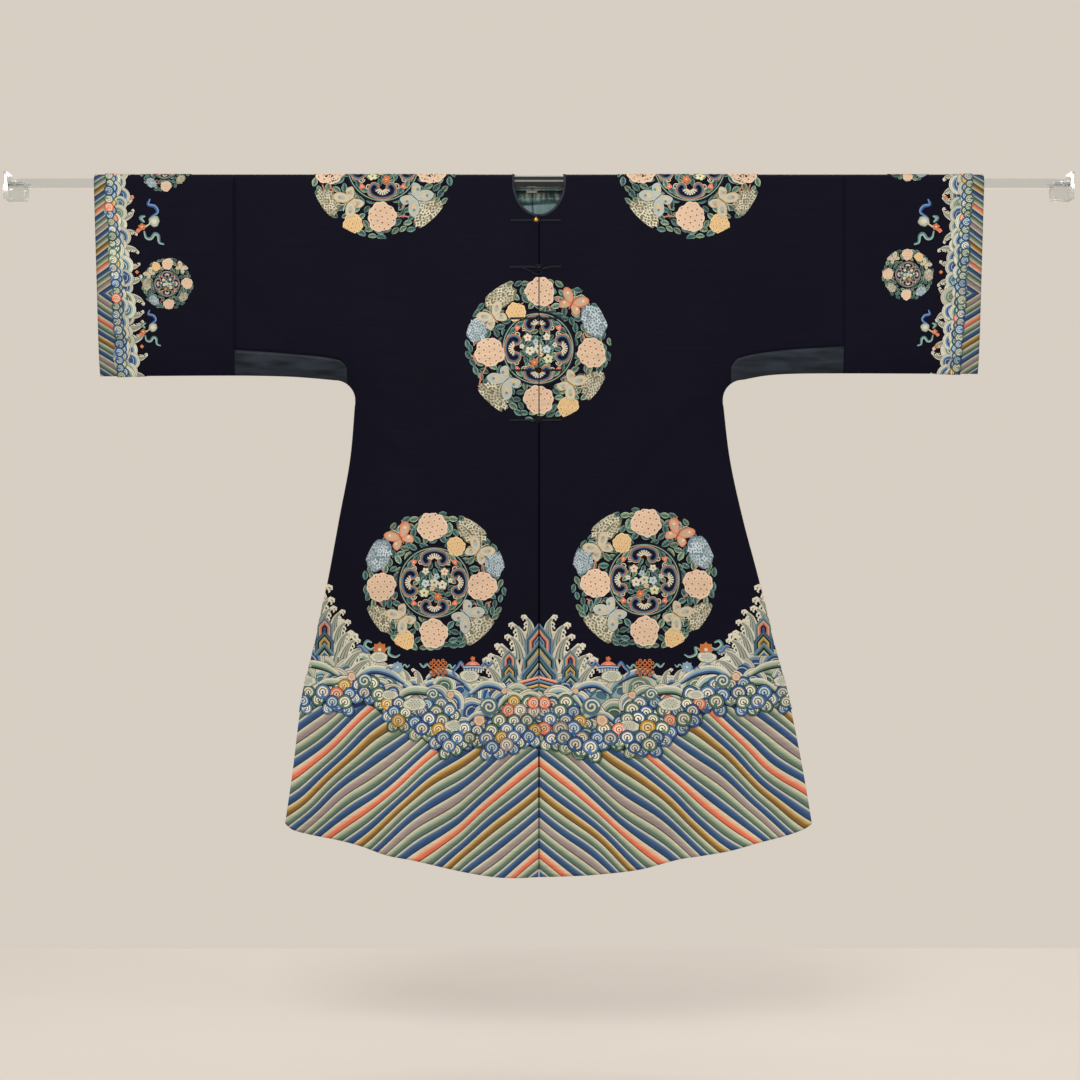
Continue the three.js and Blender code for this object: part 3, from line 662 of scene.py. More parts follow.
def satin_material(name, colour, pale, crease_highlight_share, rough):
    """Plain satin: smooth, with fine ribs along its length, a soft gloss, and slanting creases in painted
    highlights.
    """
    material, tree, shader, place = new_material(name)
    weave = use_group(tree, weft, {"Flat Place": place, "Ribs per Metre": 2200.0, "Streaks": 0.25})
    # Painted highlights: the satin lightens towards its pale colour in slanting streaks where it creases.
    crease_highlight_noise = noise(tree, stretched(tree, place, (12.0, 12.0, 60.0), 0.62), 1.0, 3.0)
    painted_crease_shading = mix_colour(tree, remap(tree, crease_highlight_noise, 0.36, 0.66, 0.0, crease_highlight_share), dye(*colour), dye(*pale))
    set_look(tree, shader, place, painted_crease_shading, 0.9, weave["Streak"], rough, weave["Height"], 0.2)
    give(tree, shader, {"Specular IOR Level": 0.14, "Sheen Weight": 0.03, "Sheen Tint": dye(150, 170, 190)})
    return material


def cord_material():
    """Folded satin cord: dark blue-grey, with the slant of its twist and painted shade in its grooves."""
    material, tree, shader, place = new_material("frog cord")
    twist = add_node(tree, "ShaderNodeTexWave", {
        "Vector": place, "Scale": 420.0, "Distortion": 1.5, "Detail": 1.0},
        bands_direction="DIAGONAL").outputs[1]
    # Painted shade: the colour darkens in the twist's grooves and lightens on its ridges.
    hollow = calc(tree, "MULTIPLY_ADD", twist, 0.27, 0.4)
    colour = mix_colour(tree, hollow, dye(18, 22, 28), dye(30, 40, 50))
    set_look(tree, shader, place, colour, 0.8, 0.0, 0.50, twist, 0.35, 0.0004)
    give(tree, shader, {"Specular IOR Level": 0.18})
    return material


def cotton_material():
    """White woven tape, left blank."""
    material, tree, shader, place = new_material("label cotton")
    weave = use_group(tree, weft, {"Flat Place": place, "Ribs per Metre": 1600.0, "Streaks": 0.2})
    set_look(tree, shader, place, dye(236, 229, 214), 0.25, weave["Streak"], 0.85, weave["Height"], 0.3)
    return material


def gilt_material(name, bright, dull, least, most):
    """Gilt brass, duller and rougher in patches of noise; least and most say how far the dull patches spread.
    """
    material, tree, shader, place = new_material(name)
    dull_patches = noise(tree, place, 420.0, 4.0)
    colour = mix_colour(tree, remap(tree, dull_patches, least, most), dye(*bright), dye(*dull))
    rough = remap(tree, dull_patches, 0.0, 1.0, 0.22, 0.5)
    set_look(tree, shader, place, colour, 0.0, 0.0, rough, dull_patches, 0.25)
    give(tree, shader, {"Metallic": 1.0})
    return material


def acrylic_material():
    """Polished clear acrylic with the faintest haze of handling, darkened in the shade of the neck."""
    material, tree, shader, place = new_material("clear acrylic")
    at = axes(tree, place)
    in_neck = calc(tree, "LESS_THAN", calc(tree, "ABSOLUTE", at["X"]), 0.056)
    shade = calc(tree, "MULTIPLY", in_neck, calc(tree, "GREATER_THAN", at["Z"], -0.0085))
    colour = mix_colour(tree, shade, dye(228, 232, 232), dye(14, 20, 24))
    rough = remap(tree, noise(tree, place, 14.0, 4.0), 0.0, 1.0, 0.01, 0.07)
    give(tree, shader, {"Base Color": colour, "Roughness": rough, "IOR": 1.49,
                        "Transmission Weight": calc(tree, "SUBTRACT", 1.0, shade)})
    return material


silk = silk_material()
motif_silk = motif_material()
lining = lining_material()
# The second colour of each satin is its painted highlight along the creases.
strip_satin = satin_material("underarm satin", (19, 26, 33), (42, 50, 62), 0.9, (0.36, 0.54))
neck_satin = satin_material("neck satin", (32, 37, 48), (48, 54, 66), 0.4, (0.36, 0.52))
cord = cord_material()
cotton = cotton_material()
gilt = gilt_material("gilt brass", (232, 182, 84), (150, 104, 44), 0.42, 0.68)
# The smaller buttons' gilt is drawn dark all over, from dull brass to near black in patches.
dark_gilt = gilt_material("darkened gilt", (128, 96, 48), (28, 26, 28), 0.28, 0.52)
acrylic = acrylic_material()


# Cut pieces of the robe

def fine_columns():
    """Distances out of the cloth's columns, closest at the side seam and even in angle at the underarm."""
    strip_turn = np.arccos(1 - (STRIP_OUT - UNDERARM_OUT) / UNDERARM_RADIUS)
    turns = np.concatenate([np.linspace(0, strip_turn, 8, endpoint=False),
                            np.linspace(strip_turn, QUARTER, 7, endpoint=False)])
    near_side = 48
    inward = 1 - np.linspace(0, 1, 11, endpoint=False)
    return np.concatenate([
        np.linspace(0, NECK_OUT, 9, endpoint=False),
        np.linspace(NECK_OUT, UNDERARM_OUT - near_side, 42, endpoint=False),
        UNDERARM_OUT - near_side * inward ** 2,
        UNDERARM_OUT + UNDERARM_RADIUS * (1 - np.cos(turns)),
        np.linspace(UNDERARM_OUT + UNDERARM_RADIUS, SLEEVE_SEAM_OUT, 30, endpoint=False),
        np.linspace(SLEEVE_SEAM_OUT, CUFF_TOP_OUT, 44),
    ])


def fine_rows():
    """Rows of the cloth's grid, closest over the rod and at the sleeve's underside."""
    upward = 1 - np.linspace(0, 1, 14, endpoint=False)
    return np.concatenate([
        np.linspace(0, FOLD_ROW, 10, endpoint=False),
        np.linspace(FOLD_ROW, NECK_ROW, 8, endpoint=False),
        np.linspace(NECK_ROW, STRIP_ROW, 46, endpoint=False),
        UNDERARM_ROW - (UNDERARM_ROW - STRIP_ROW) * upward ** 2,
        np.linspace(UNDERARM_ROW, HEM_ROW, 114),
    ])


def panel_points(half, face, columns, rows):
    """Every point of one face of one half of the robe, and its x and run on the flat cloth.

    A column runs down from the fold, round the neck's half ellipse if it meets it, to the underarm,
    and below it keeps its share of the way to the side seam. A row keeps its share of the height."""
    fold_out, row = np.meshgrid(columns, rows)
    floor_turn = np.full(row.shape, EIGHTH)
    beside = np.zeros(row.shape)
    if face == "front":
        floor_turn = EIGHTH * (2 - np.clip(fold_out / NECK_OUT, 0, 1))
        beside = ease(NECK_FADE_OUT, NECK_OUT, fold_out)
    on_side = np.clip((row - FOLD_ROW) / (NECK_ROW - FOLD_ROW), 0, 1)
    straight_z = -NECK_DROP * np.sin(EIGHTH) * on_side
    round_z = -NECK_DROP * np.sin(EIGHTH * on_side)
    side_out = fold_out - NECK_OUT * (1 - np.cos(EIGHTH * on_side)) * beside
    side_z = straight_z + (round_z - straight_z) * beside

    floor_out = np.where(fold_out <= NECK_OUT, NECK_OUT * np.cos(floor_turn),
                         fold_out - NECK_OUT * (1 - np.cos(EIGHTH)) * beside)
    if face == "back":
        floor_out = fold_out
    floor_z = -NECK_DROP * np.sin(floor_turn)
    strip_z = np.where(fold_out < STRIP_OUT, STRIP_Z, read(STRIP_UPPER_EDGE, "out", half, fold_out))
    upper = np.clip((row - NECK_ROW) / (STRIP_ROW - NECK_ROW), 0, 1)
    lower = np.clip((row - STRIP_ROW) / (UNDERARM_ROW - STRIP_ROW), 0, 1)
    arm_z = floor_z + (strip_z - floor_z) * upper + (underside_z(half, fold_out) - strip_z) * lower
    arm_out = fold_out + (floor_out - fold_out) * ease(NECK_ROW + 3, NECK_ROW, row)

    across = np.minimum(fold_out / UNDERARM_OUT, 1)
    share = np.clip((row - UNDERARM_ROW) / (HEM_ROW - UNDERARM_ROW), 0, 1)
    skirt_z = UNDERARM_Z + (read(HEM_LINE, "across", half, across) - UNDERARM_Z) * share
    skirt_out = across * read(SIDE_SEAM, "z", half, skirt_z)

    out = np.select([row < NECK_ROW, row <= UNDERARM_ROW], [side_out, arm_out], skirt_out)
    z = np.select([row < FOLD_ROW, row < NECK_ROW, row <= UNDERARM_ROW], [0 * row, side_z, arm_z], skirt_z)
    along_sleeve = np.clip((out - SLEEVE_SEAM_OUT) / (CUFF_TOP_OUT - SLEEVE_SEAM_OUT), 0, 1)
    out = out - cuff_slant(half, z) * along_sleeve
    if face == "front":
        out[:, 0] = read(HANGING_DEPTH, "z", "opening", z[:, 0]) / 2
    depth = half_depth(half, face, out, z)
    closed = (np.isclose(row, UNDERARM_ROW) & (fold_out >= UNDERARM_OUT - 0.01))
    closed |= (row > UNDERARM_ROW) & np.isclose(fold_out, UNDERARM_OUT)
    depth = np.where(closed, 0, depth)

    turn = QUARTER * np.clip(row / FOLD_ROW, 0, 1)
    on_fold = row < FOLD_ROW
    y = np.where(on_fold, FOLD_RADIUS * np.sin(turn), depth)
    height = np.where(on_fold, FOLD_RADIUS * np.cos(turn), z)
    run = np.where(on_fold, FOLD_RADIUS * turn, FOLD_RUN - z)
    x = MIRROR[half] * out
    points = np.stack([x, TOWARD[face] * y, height], -1)
    flat = np.stack([x, -TOWARD[face] * run], -1)
    return points, flat


def cut_pieces(half):
    """The body panel, sleeve and underarm strip of one half, each as points, faces and flat map."""
    columns, rows = fine_columns(), fine_rows()
    front, front_flat = panel_points(half, "front", columns, rows)
    back, back_flat = panel_points(half, "back", columns, rows)
    points = np.concatenate([front.reshape(-1, 3), back.reshape(-1, 3)])
    flat = np.concatenate([front_flat.reshape(-1, 2), back_flat.reshape(-1, 2)])
    point_count = len(rows) * len(columns)
    quads = grid_faces(len(rows), len(columns))
    middle_out = np.tile((columns[:-1] + columns[1:]) / 2, len(rows) - 1)
    middle_row = np.repeat((rows[:-1] + rows[1:]) / 2, len(columns) - 1)
    cloth = (middle_row < UNDERARM_ROW) | (middle_out < UNDERARM_OUT)
    strip = (middle_row > STRIP_ROW) & (middle_out > STRIP_OUT) & (middle_out < SLEEVE_SEAM_OUT)
    sleeve = middle_out > SLEEVE_SEAM_OUT
    pieces = []
    for chosen in (~strip & ~sleeve, sleeve, strip):
        faces = []
        for face, last_row, offset in (("front", NECK_ROW, 0), ("back", 1, point_count)):
            hole = (middle_out < NECK_OUT) & (middle_row < last_row)
            kept = quads[cloth & chosen & ~hole] + offset
            faces.append(kept if (half == "right") == (face == "front") else kept[:, ::-1])
        faces = np.vstack(faces)
        first, faces = weld(points, faces)
        used, faces = np.unique(faces, return_inverse=True)
        pieces.append((points[first][used], faces.reshape(-1, 4), flat[first][used]))
    return pieces


# Cloth of each half: name, what it replaces, slot, outer face, flat size in metres, and each half's area
CUT_PIECES = (
    ("silk_body", "body", "kesi_silk", silk, (0.617, 2.86), {"left": 1.364, "right": 1.400}),
    ("silk_sleeve", "sleeve", "kesi_silk", silk, (0.283, 0.839), {"left": 0.2337, "right": 0.2311}),
    ("satin_strip", "underarm_strip", "underarm_satin", strip_satin, (0.229, 0.115),
     {"left": 0.0217, "right": 0.0228}),
)
for half in MIRROR:
    for (name, node, slot, outer, flat_size, areas), form in zip(CUT_PIECES, cut_pieces(half)):
        points, faces, flat = form
        piece = new_piece(f"{name}_{half}", points, faces, [outer, lining], uv=flat,
                          replaces=(f"{node}_{half}",))
        thicken(piece, WALL, -1).material_offset = 1


# Neck

def neck_binding():
    """The rolled binding: a half-round section carried round the neck's edge, on the cloth's face."""
    turns = np.linspace(QUARTER, 0, 22)
    front_x = NECK_OUT * np.cos(turns)
    front_x[0] = 1.2
    front_run = FOLD_RUN + NECK_DROP * np.sin(turns)
    over_run = np.linspace(FOLD_RUN, 0, 9)[1:]
    back_run = -FOLD_RUN / FOLD_ROW
    corner = 4
    corner_turn = np.linspace(0, QUARTER, 5)
    right = np.vstack([
        np.column_stack([front_x, front_run]),
        np.column_stack([np.full(len(over_run), NECK_OUT), over_run]),
        np.column_stack([NECK_OUT - corner + corner * np.cos(corner_turn),
                         back_run + corner - corner * np.sin(corner_turn)]),
        np.column_stack([np.linspace(NECK_OUT - corner, 0, 8, endpoint=False)[1:], np.full(7, back_run)]),
    ])
    left = right[::-1] * (-1, 1)
    path = np.vstack([right, [[0, back_run]], left])
    direction = np.gradient(path, axis=0)
    direction /= np.linalg.norm(direction, axis=1, keepdims=True)
    away = np.column_stack([-direction[:, 1], direction[:, 0]])
    share = np.linspace(0, 1, 7)
    across = -0.4 + 4.9 * share
    rise = 0.35 + 1.15 * np.sqrt(np.clip(np.sin(np.pi * share), 0, 1))
    place = path[:, None, :] + away[:, None, :] * across[None, :, None]
    points = on_cloth(place[..., 0], place[..., 1], np.broadcast_to(rise, place.shape[:2]))
    return points.reshape(-1, 3), grid_faces(len(path), len(share)), place.reshape(-1, 2)


def neck_piece(name, form, material, node, thickness, offset):
    """A piece at the neck from its points, faces and flat map, with its thickness in millimetres."""
    points, faces, flat = form
    piece = new_piece(name, points, faces, [material], uv=flat, replaces=(node,))
    thicken(piece, thickness, offset)
    return piece


binding = neck_piece("satin_neck_binding", neck_binding(), neck_satin, "neck_binding", 0.4, -1)


def inside_sheet(across, down, depth):
    """A sheet inside the back: its places across and down from the rod, at a depth behind the cloth."""
    points = on_cloth(across, -(FOLD_RUN - down), -(WALL + depth))
    return points.reshape(-1, 3), grid_faces(*across.shape), np.stack([across, down], -1).reshape(-1, 2)


# The lining's slanting folds: place across, lean, width and rise
LINING_FOLDS = ((-22, 0.25, 4.0, 1.9), (-11, -0.12, 3.2, 2.6), (-2, 0.05, 5.0, 1.6), (13, -0.30, 4.2, 1.8),
                (27, -0.42, 6.0, 1.6), (-40, 0.5, 7.0, 1.8), (48, -0.5, 8.0, 1.6))


def neck_lining():
    """The lining behind the neck: a sheet inside the back with slanting soft folds and a broad roll.

    Its lift is a sum of ridges along slanting lines, and of one roll across at two fifths of its height."""
    across, down = np.meshgrid(np.linspace(-74, 74, 61), np.linspace(-18, -124, 48))
    lift = sum(rise * np.exp(-(((across - at - lean * (down + 30)) / width) ** 2))
               for at, lean, width, rise in LINING_FOLDS)
    lift = lift * ease(-14, -30, down) * ease(-126, -70, down)
    roll_z = -40 + 0.06 * across + 2.5 * np.sin(across / 11)
    lift = lift + 3.4 * ease(0, 7, down - roll_z) * ease(-20, -34, down)
    return inside_sheet(across, down, 1.4 + lift)


neck_sheet = neck_piece("lining_neck", neck_lining(), lining, "neck_lining", 0.3, 0)


def neck_label():
    """A short tape, blank, curled a little forward at its lower edge."""
    across, down = np.meshgrid(np.linspace(-26, -4, 12), np.linspace(-10.5, -17, 6))
    curl = 0.9 * ease(-13, -17, down) + 0.4 * np.sin(across / 3.4)
    return inside_sheet(across, down, 1.0 + curl)


label = neck_piece("tape_neck_label", neck_label(), cotton, "neck_label", 0.5, 0)


# Frogs and buttons

CORD_RADIUS = 1.05
FASTENINGS = (
    # name, height, button's x, button's radius, left end, right end
    ("neck", -78, -6, 5.5, -58, 44),
    ("upper", -172, -1, 3.5, -60, 44),
    ("chest", -276, -1, 3.5, -58, 45),
    ("waist", -381, 0, 3.5, -56, 46),
    ("lower", -482, -1, 3.5, -59, 45),
)


# The loop that has come loose from the upper frog: x, and height from the frog's
LOOSE_LOOP = ((-33, -2), (-20, -8), (-9, -14), (-2, -15.5), (4, -13), (5, -8.5), (-1, -7))


def laid_cord(places, lift=1.3):
    """A cord laid on the front along given x and z, round in section."""
    route = smooth_path(places)
    return tube(on_cloth(route[:, 0], FOLD_RUN - route[:, 1], np.full(len(route), lift)), CORD_RADIUS)


def frog_halves(z, button_x, radius, left_end, right_end, droops):
    """A frog: on the left a doubled cord that opens into an eye round the button, on the right a bar."""
    eye = radius + 1.4
    turns = np.linspace(np.pi * 0.86, -np.pi * 0.86, 15)
    round_eye = np.column_stack([button_x + eye * np.cos(turns), z + eye * np.sin(turns)])
    gap = CORD_RADIUS * 0.95
    meet = button_x - eye - 3
    upper = [(left_end, z + gap), ((left_end + meet) / 2, z + gap + 0.3), (meet, z + gap)]
    lower = [(meet, z - gap), ((left_end + meet) / 2, z - gap - 0.3), (left_end, z - gap)]
    left = [laid_cord(np.vstack([upper, round_eye, lower]))]
    start = button_x + eye + 2.2
    middle = (start + right_end) / 2
    slip = 4 if droops else 0
    right = [laid_cord([(start, z + gap - slip), (middle, z + gap), (right_end, z + gap + 0.4)]),
             laid_cord([(start, z - gap - slip), (middle, z - gap), (right_end, z - gap + 0.4)])]
    if droops:
        left.append(laid_cord(np.array(LOOSE_LOOP) + (0, z), lift=2.0))
    return joined(left), joined(right)


def button_form(x, z, radius, pear):
    """A button turned about a line square to the front: a ball, or a pear drawn out at its top."""
    turn, around = np.meshgrid(np.linspace(0, np.pi, 13), np.arange(20) * CIRCLE / 20, indexing="ij")
    swell = 1 + 0.06 * np.cos(6 * around) * np.sin(turn)
    across = radius * np.sin(turn) * np.cos(around) * swell
    up = radius * np.sin(turn) * np.sin(around) * swell
    if pear:
        across = across * (1 - 0.42 * np.clip(up / radius, 0, 1))
        up = up * np.where(up > 0, 1.25, 0.85)
    centre = on_cloth(np.array([x]), np.array([FOLD_RUN - z]), np.array([radius + 0.4]))[0]
    points = np.stack([centre[0] + across, centre[1] + radius * np.cos(turn), centre[2] + up], -1)
    return points.reshape(-1, 3), grid_faces(*turn.shape, closed=True)


for name, z, button_x, radius, left_end, right_end in FASTENINGS:
    cords = frog_halves(z, button_x, radius, left_end, right_end, droops=name == "upper")
    for half, (points, faces) in zip(MIRROR, cords):
        new_piece(f"cord_{name}_{half}", points, faces, [cord],
                  replaces=(f"frog_{name}_{half}",))
    points, faces = button_form(button_x, z, radius, pear=name == "neck")
    metal = gilt if name == "neck" else dark_gilt
    new_piece(f"gilt_button_{name}", points, faces, [metal], replaces=(f"button_{name}",))


# Rod and its holders

def rod_form():
    """The rod: a circle carried along X, with its two end faces rounded in to a flat centre."""
    half = ROD_LENGTH / 2
    along = np.linspace(-half + 30, half - 30, 40)
    stations = np.concatenate([[-half, -half, -half + 1], along, [half - 1, half, half]])
    radii = np.full(len(stations), float(ROD_RADIUS))
    radii[[0, -1]] = 0.01
    radii[[1, -2]] = ROD_RADIUS - 1
    angle = np.arange(48) * CIRCLE / 48
    points = np.stack(np.broadcast_arrays(
        stations[:, None], radii[:, None] * np.cos(angle), radii[:, None] * np.sin(angle)), -1)
    return points.reshape(-1, 3), grid_faces(len(stations), 48, closed=True)


rod_points, rod_faces = rod_form()
new_piece("acrylic_rod", rod_points, rod_faces, [acrylic], replaces=("rod",))
for half in ("left", "right"):
    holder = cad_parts[f"rod_holder_{half}"]
    holder.data.materials.clear()
    holder.data.materials.append(acrylic)


# Woven shapes. Each is three arrays: points as x, up and layer on the flat cloth, triangles, and a dye a
# face. "up" is the height on the flat cloth above the fold over the rod: below 0 on the front, above 0 on
# the back.

BASE_LIFT = 0.32
LAYER_LIFT = 0.17


def two_triangles(quads):
    """Each four-sided face as two triangles that follow one another."""
    return np.stack([quads[:, [0, 1, 2]], quads[:, [0, 2, 3]]], 1).reshape(-1, 3)


def band(path, width, tones, layer=0.0, edges=None, closed=False):
    """Stripes side by side along a path: each edge is the path moved sideways by its share of the width."""
    path = np.asarray(path, float)
    width = np.broadcast_to(np.asarray(width, float), len(path))
    if closed:
        direction = np.roll(path, -1, 0) - np.roll(path, 1, 0)
        path = np.vstack([path, path[:1]])
        direction = np.vstack([direction, direction[:1]])
        width = np.append(width, width[0])
    else:
        direction = np.gradient(path, axis=0)
    direction = direction / np.maximum(np.linalg.norm(direction, axis=1, keepdims=True), 1e-9)
    sideways = np.column_stack([-direction[:, 1], direction[:, 0]])
    edges = np.linspace(-0.5, 0.5, len(tones) + 1) if edges is None else np.asarray(edges, float)
    points = path[:, None] + sideways[:, None] * (edges[None, :] * width[:, None])[..., None]
    points = np.concatenate([points, np.full(points.shape[:2] + (1,), float(layer))], -1)
    faces = two_triangles(grid_faces(len(path), len(edges)))
    dyes = np.repeat(np.tile(np.asarray(tones, float), (len(path) - 1, 1)), 2, axis=0)
    return points.reshape(-1, 3), faces, dyes


def disc(outline, tones, shares, layer=0.0):
    """Rings of dye drawn in from an outline to its middle, the first tone a fan round the middle point."""
    outline = np.asarray(outline, float)
    count = len(outline)
    rings = (outline[None] * np.asarray(shares, float)[:, None, None]).reshape(-1, 2)
    points = np.vstack([[0.0, 0.0], rings])
    points = np.column_stack([points, np.full(len(points), float(layer))])
    around = np.arange(count)
    after = (around + 1) % count
    faces = [np.stack([np.zeros(count, int), 1 + around, 1 + after], -1)]
    dyes = [np.tile(np.asarray(tones[0], float), (count, 1))]
    for ring, tone in enumerate(tones[1:]):
        inner = 1 + ring * count
        outer = inner + count
        quads = np.stack([inner + around, outer + around, outer + after, inner + after], -1)
        faces.append(two_triangles(quads))
        dyes.append(np.tile(np.asarray(tone, float), (2 * count, 1)))
    return points, np.vstack(faces), np.vstack(dyes)


def gather(shapes):
    """Several woven shapes as one."""
    starts = np.cumsum([0] + [len(points) for points, _, _ in shapes[:-1]])
    return (np.vstack([points for points, _, _ in shapes]),
            np.vstack([faces + start for (_, faces, _), start in zip(shapes, starts)]),
            np.vstack([dyes for _, _, dyes in shapes]))


def reshaped(shape, across, rise):
    """A woven shape stretched along x and up; a negative stretch mirrors it."""
    points, faces, dyes = shape
    return points * (across, rise, 1), faces, dyes


def place(shape, x, up, turn=0.0, size=1.0, layer=0.0, mirror=False):
    """A woven shape sized, mirrored, turned by an angle and moved."""
    return scatter(reshaped(shape, -1 if mirror else 1, 1), [(x, up)], turn, size, layer, 1.0)


def scatter(shape, places, turns, sizes, layers, tints):
    """Copies of one woven shape, made as one array: each has its own place, turn, size, layer and tint."""
    points, faces, dyes = shape
    count = len(places)
    turns, sizes, layers, tints = (np.broadcast_to(np.asarray(v, float), count)
                                   for v in (turns, sizes, layers, tints))
    across = points[None, :, 0] * sizes[:, None]
    rising = points[None, :, 1] * sizes[:, None]
    cosine, sine = np.cos(turns)[:, None], np.sin(turns)[:, None]
    places = np.asarray(places, float)
    moved = np.stack([places[:, :1] + across * cosine - rising * sine,
                      places[:, 1:2] + across * sine + rising * cosine,
                      points[None, :, 2] + layers[:, None]], -1)
    steps = (np.arange(count) * len(points))[:, None, None]
    dyed = np.clip(dyes[None] * tints[:, None, None], 0, 255)
    return moved.reshape(-1, 3), (faces[None] + steps).reshape(-1, 3), dyed.reshape(-1, 3)


def polar(radius, angle):
    """Places at distances and angles from the middle."""
    return np.column_stack([radius * np.cos(angle), radius * np.sin(angle)])


def round_outline(points, lobes=0, depth=0.0):
    """A circle of radius 1 whose radius rises and falls in lobes."""
    angle = np.arange(points) * CIRCLE / points
    return polar(1 - depth + depth * np.abs(np.cos(lobes * angle / 2)), angle)


def spiral(turns, points, start_radius, end_radius):
    """A path that winds in towards its middle at an even rate."""
    share = np.linspace(0, 1, points)
    return polar(start_radius + (end_radius - start_radius) * share, turns * CIRCLE * share)


# Flowers, leaves and butterflies

PEACH, PEACH_LIGHT = (216, 188, 162), (228, 204, 182)
YELLOW_PEACH = (218, 186, 138)
BROWN = (158, 106, 62)
TEAL, TEAL_DARK, TEAL_LIGHT = (84, 122, 118), (58, 94, 96), (136, 164, 152)
LEAF_SAGE, LEAF_PALE = (126, 150, 122), (176, 190, 160)
PETAL_WHITE, PETAL_GREY = (204, 204, 186), (178, 178, 162)
OLIVE, OLIVE_DARK = (104, 92, 60), (124, 116, 88)
PALE_BLUE, MILK_BLUE = (172, 190, 198), (192, 206, 210)
BLUE_GREY = (112, 134, 150)
ORANGE, ORANGE_BROWN = (200, 116, 72), (172, 110, 68)
PINK = (204, 134, 112)
INK = (20, 20, 32)


def leaf(body, other, edge):
    """A leaf 1 long: its width is a sine along the midrib, pale at its rim, with a dark midrib."""
    along = np.linspace(0, 1, 6)
    path = np.column_stack([along - 0.5, 0.05 * np.sin(np.pi * along)])
    width = 0.60 * np.sin(np.pi * np.clip(along, 0.03, 0.975)) ** 0.7
    blade = band(path, width, (edge, body, INK, other, edge), edges=(-0.5, -0.38, -0.04, 0.04, 0.38, 0.5))
    veins = [band([(at, 0.02), (at + 0.10, side * 0.18)], 0.03, (INK,), layer=0.4)
             for at in (-0.2, 0.06) for side in (-1, 1)]
    return gather([blade] + veins)


TEAL_LEAF = leaf(TEAL, TEAL_DARK, TEAL_LIGHT)
SAGE_LEAF = leaf(LEAF_SAGE, TEAL, LEAF_PALE)


def packed_places(spacing, reach, draw, spread):
    """Places about evenly spaced inside a circle: rows offset like bricks, each moved a little."""
    count = int(np.ceil(reach / spacing)) + 1
    column, row = np.meshgrid(np.arange(-count, count + 1), np.arange(-count, count + 1))
    places = np.stack([(column + 0.5 * (row % 2)) * spacing, row * spacing * 0.866], -1).reshape(-1, 2)
    places = places + draw.normal(0, spread * spacing, places.shape)
    return places[np.hypot(places[:, 0], places[:, 1]) < reach]


def star(points, inner, tone):
    """A small star of radius 1."""
    step = np.arange(2 * points)
    return disc(polar(np.where(step % 2, inner, 1.0), step * np.pi / points), (tone,), (1.0,))


def uneven_outline(points, lobes, draw):
    """A lumpy circle of radius about 1: many small lobes on a few broad swellings."""
    angle = np.arange(points) * CIRCLE / points
    broad = sum(draw.uniform(0.02, 0.05) * np.cos(turns * angle + draw.uniform(0, 6)) for turns in (2, 3, 5))
    return polar(0.93 + broad + 0.095 * np.abs(np.sin(lobes * angle / 2 + draw.uniform(0, 3))), angle)


def flower_head(tone, rim, draw):
    """A round head of massed florets, radius 1: a lumpy disc with a brown mark in each floret."""
    ground = disc(uneven_outline(44, 10, draw), (tone, tone, rim), (0.6, 0.92, 1.0))
    places = packed_places(0.41, 0.86, draw, 0.06)
    florets = scatter(star(4, 0.80, rim), places, draw.uniform(0, 1.6, len(places)), 0.155, 0.3,
                      draw.uniform(0.98, 1.04, len(places)))
    marks = scatter(star(4, 0.34, BROWN), places, draw.uniform(0, 1.6, len(places)), 0.125, 0.6,
                    draw.uniform(0.85, 1.15, len(places)))
    return gather([ground, florets, marks])


def floret_cluster(petal, ground_tone, eye, draw):
    """A looser head, radius 1: four-petalled florets massed on a darker ground, its edge left ragged."""
    ground = disc(uneven_outline(36, 9, draw), (ground_tone, ground_tone), (0.6, 0.97))
    places = packed_places(0.40, 0.92, draw, 0.09)
    florets = scatter(star(4, 0.46, petal), places, draw.uniform(0, 1.6, len(places)), 0.265, 0.5,
                      draw.uniform(0.84, 1.06, len(places)))
    eyes = scatter(star(3, 0.6, eye), places, draw.uniform(0, 1.6, len(places)), 0.09, 0.9, 1.0)
    return gather([ground, florets, eyes])


def butterfly(rim, middle, inner, spot):
    """A butterfly about 2 across: two wings a side ringed with dyes, spots, a body and feelers."""
    fore = closed_path([(0.02, 0.02), (0.14, 0.54), (0.60, 0.92), (1.02, 0.84), (0.98, 0.40), (0.54, 0.04)])
    hind = closed_path([(0.02, 0.0), (0.50, 0.04), (0.84, -0.20), (0.74, -0.62), (0.42, -0.58),
                        (0.10, -0.30)])
    parts = []
    for outline, lift in ((hind, 0.0), (fore, 0.5)):
        middle_point = outline.mean(0)
        wing = disc(outline - middle_point, (inner, middle, rim), (0.45, 0.82, 1.0), lift)
        wing = gather([wing, place(star(5, 0.7, spot), 0.1, 0.12, 0, 0.12, lift + 0.3)])
        for mirror in (False, True):
            sign = -1 if mirror else 1
            parts.append(place(wing, sign * middle_point[0], middle_point[1], mirror=mirror))
    along = np.linspace(-0.45, 0.45, 6)
    parts.append(band(np.column_stack([0 * along, along]), 0.16 * np.cos(along * 2.6), (rim, INK, rim), 1.0))
    for side in (-1, 1):
        feeler = smooth_path([(0, 0.42), (side * 0.12, 0.72), (side * 0.32, 0.92)], 3)
        parts.append(band(feeler, 0.045, (PETAL_WHITE,), 0.6))
    return gather(parts)


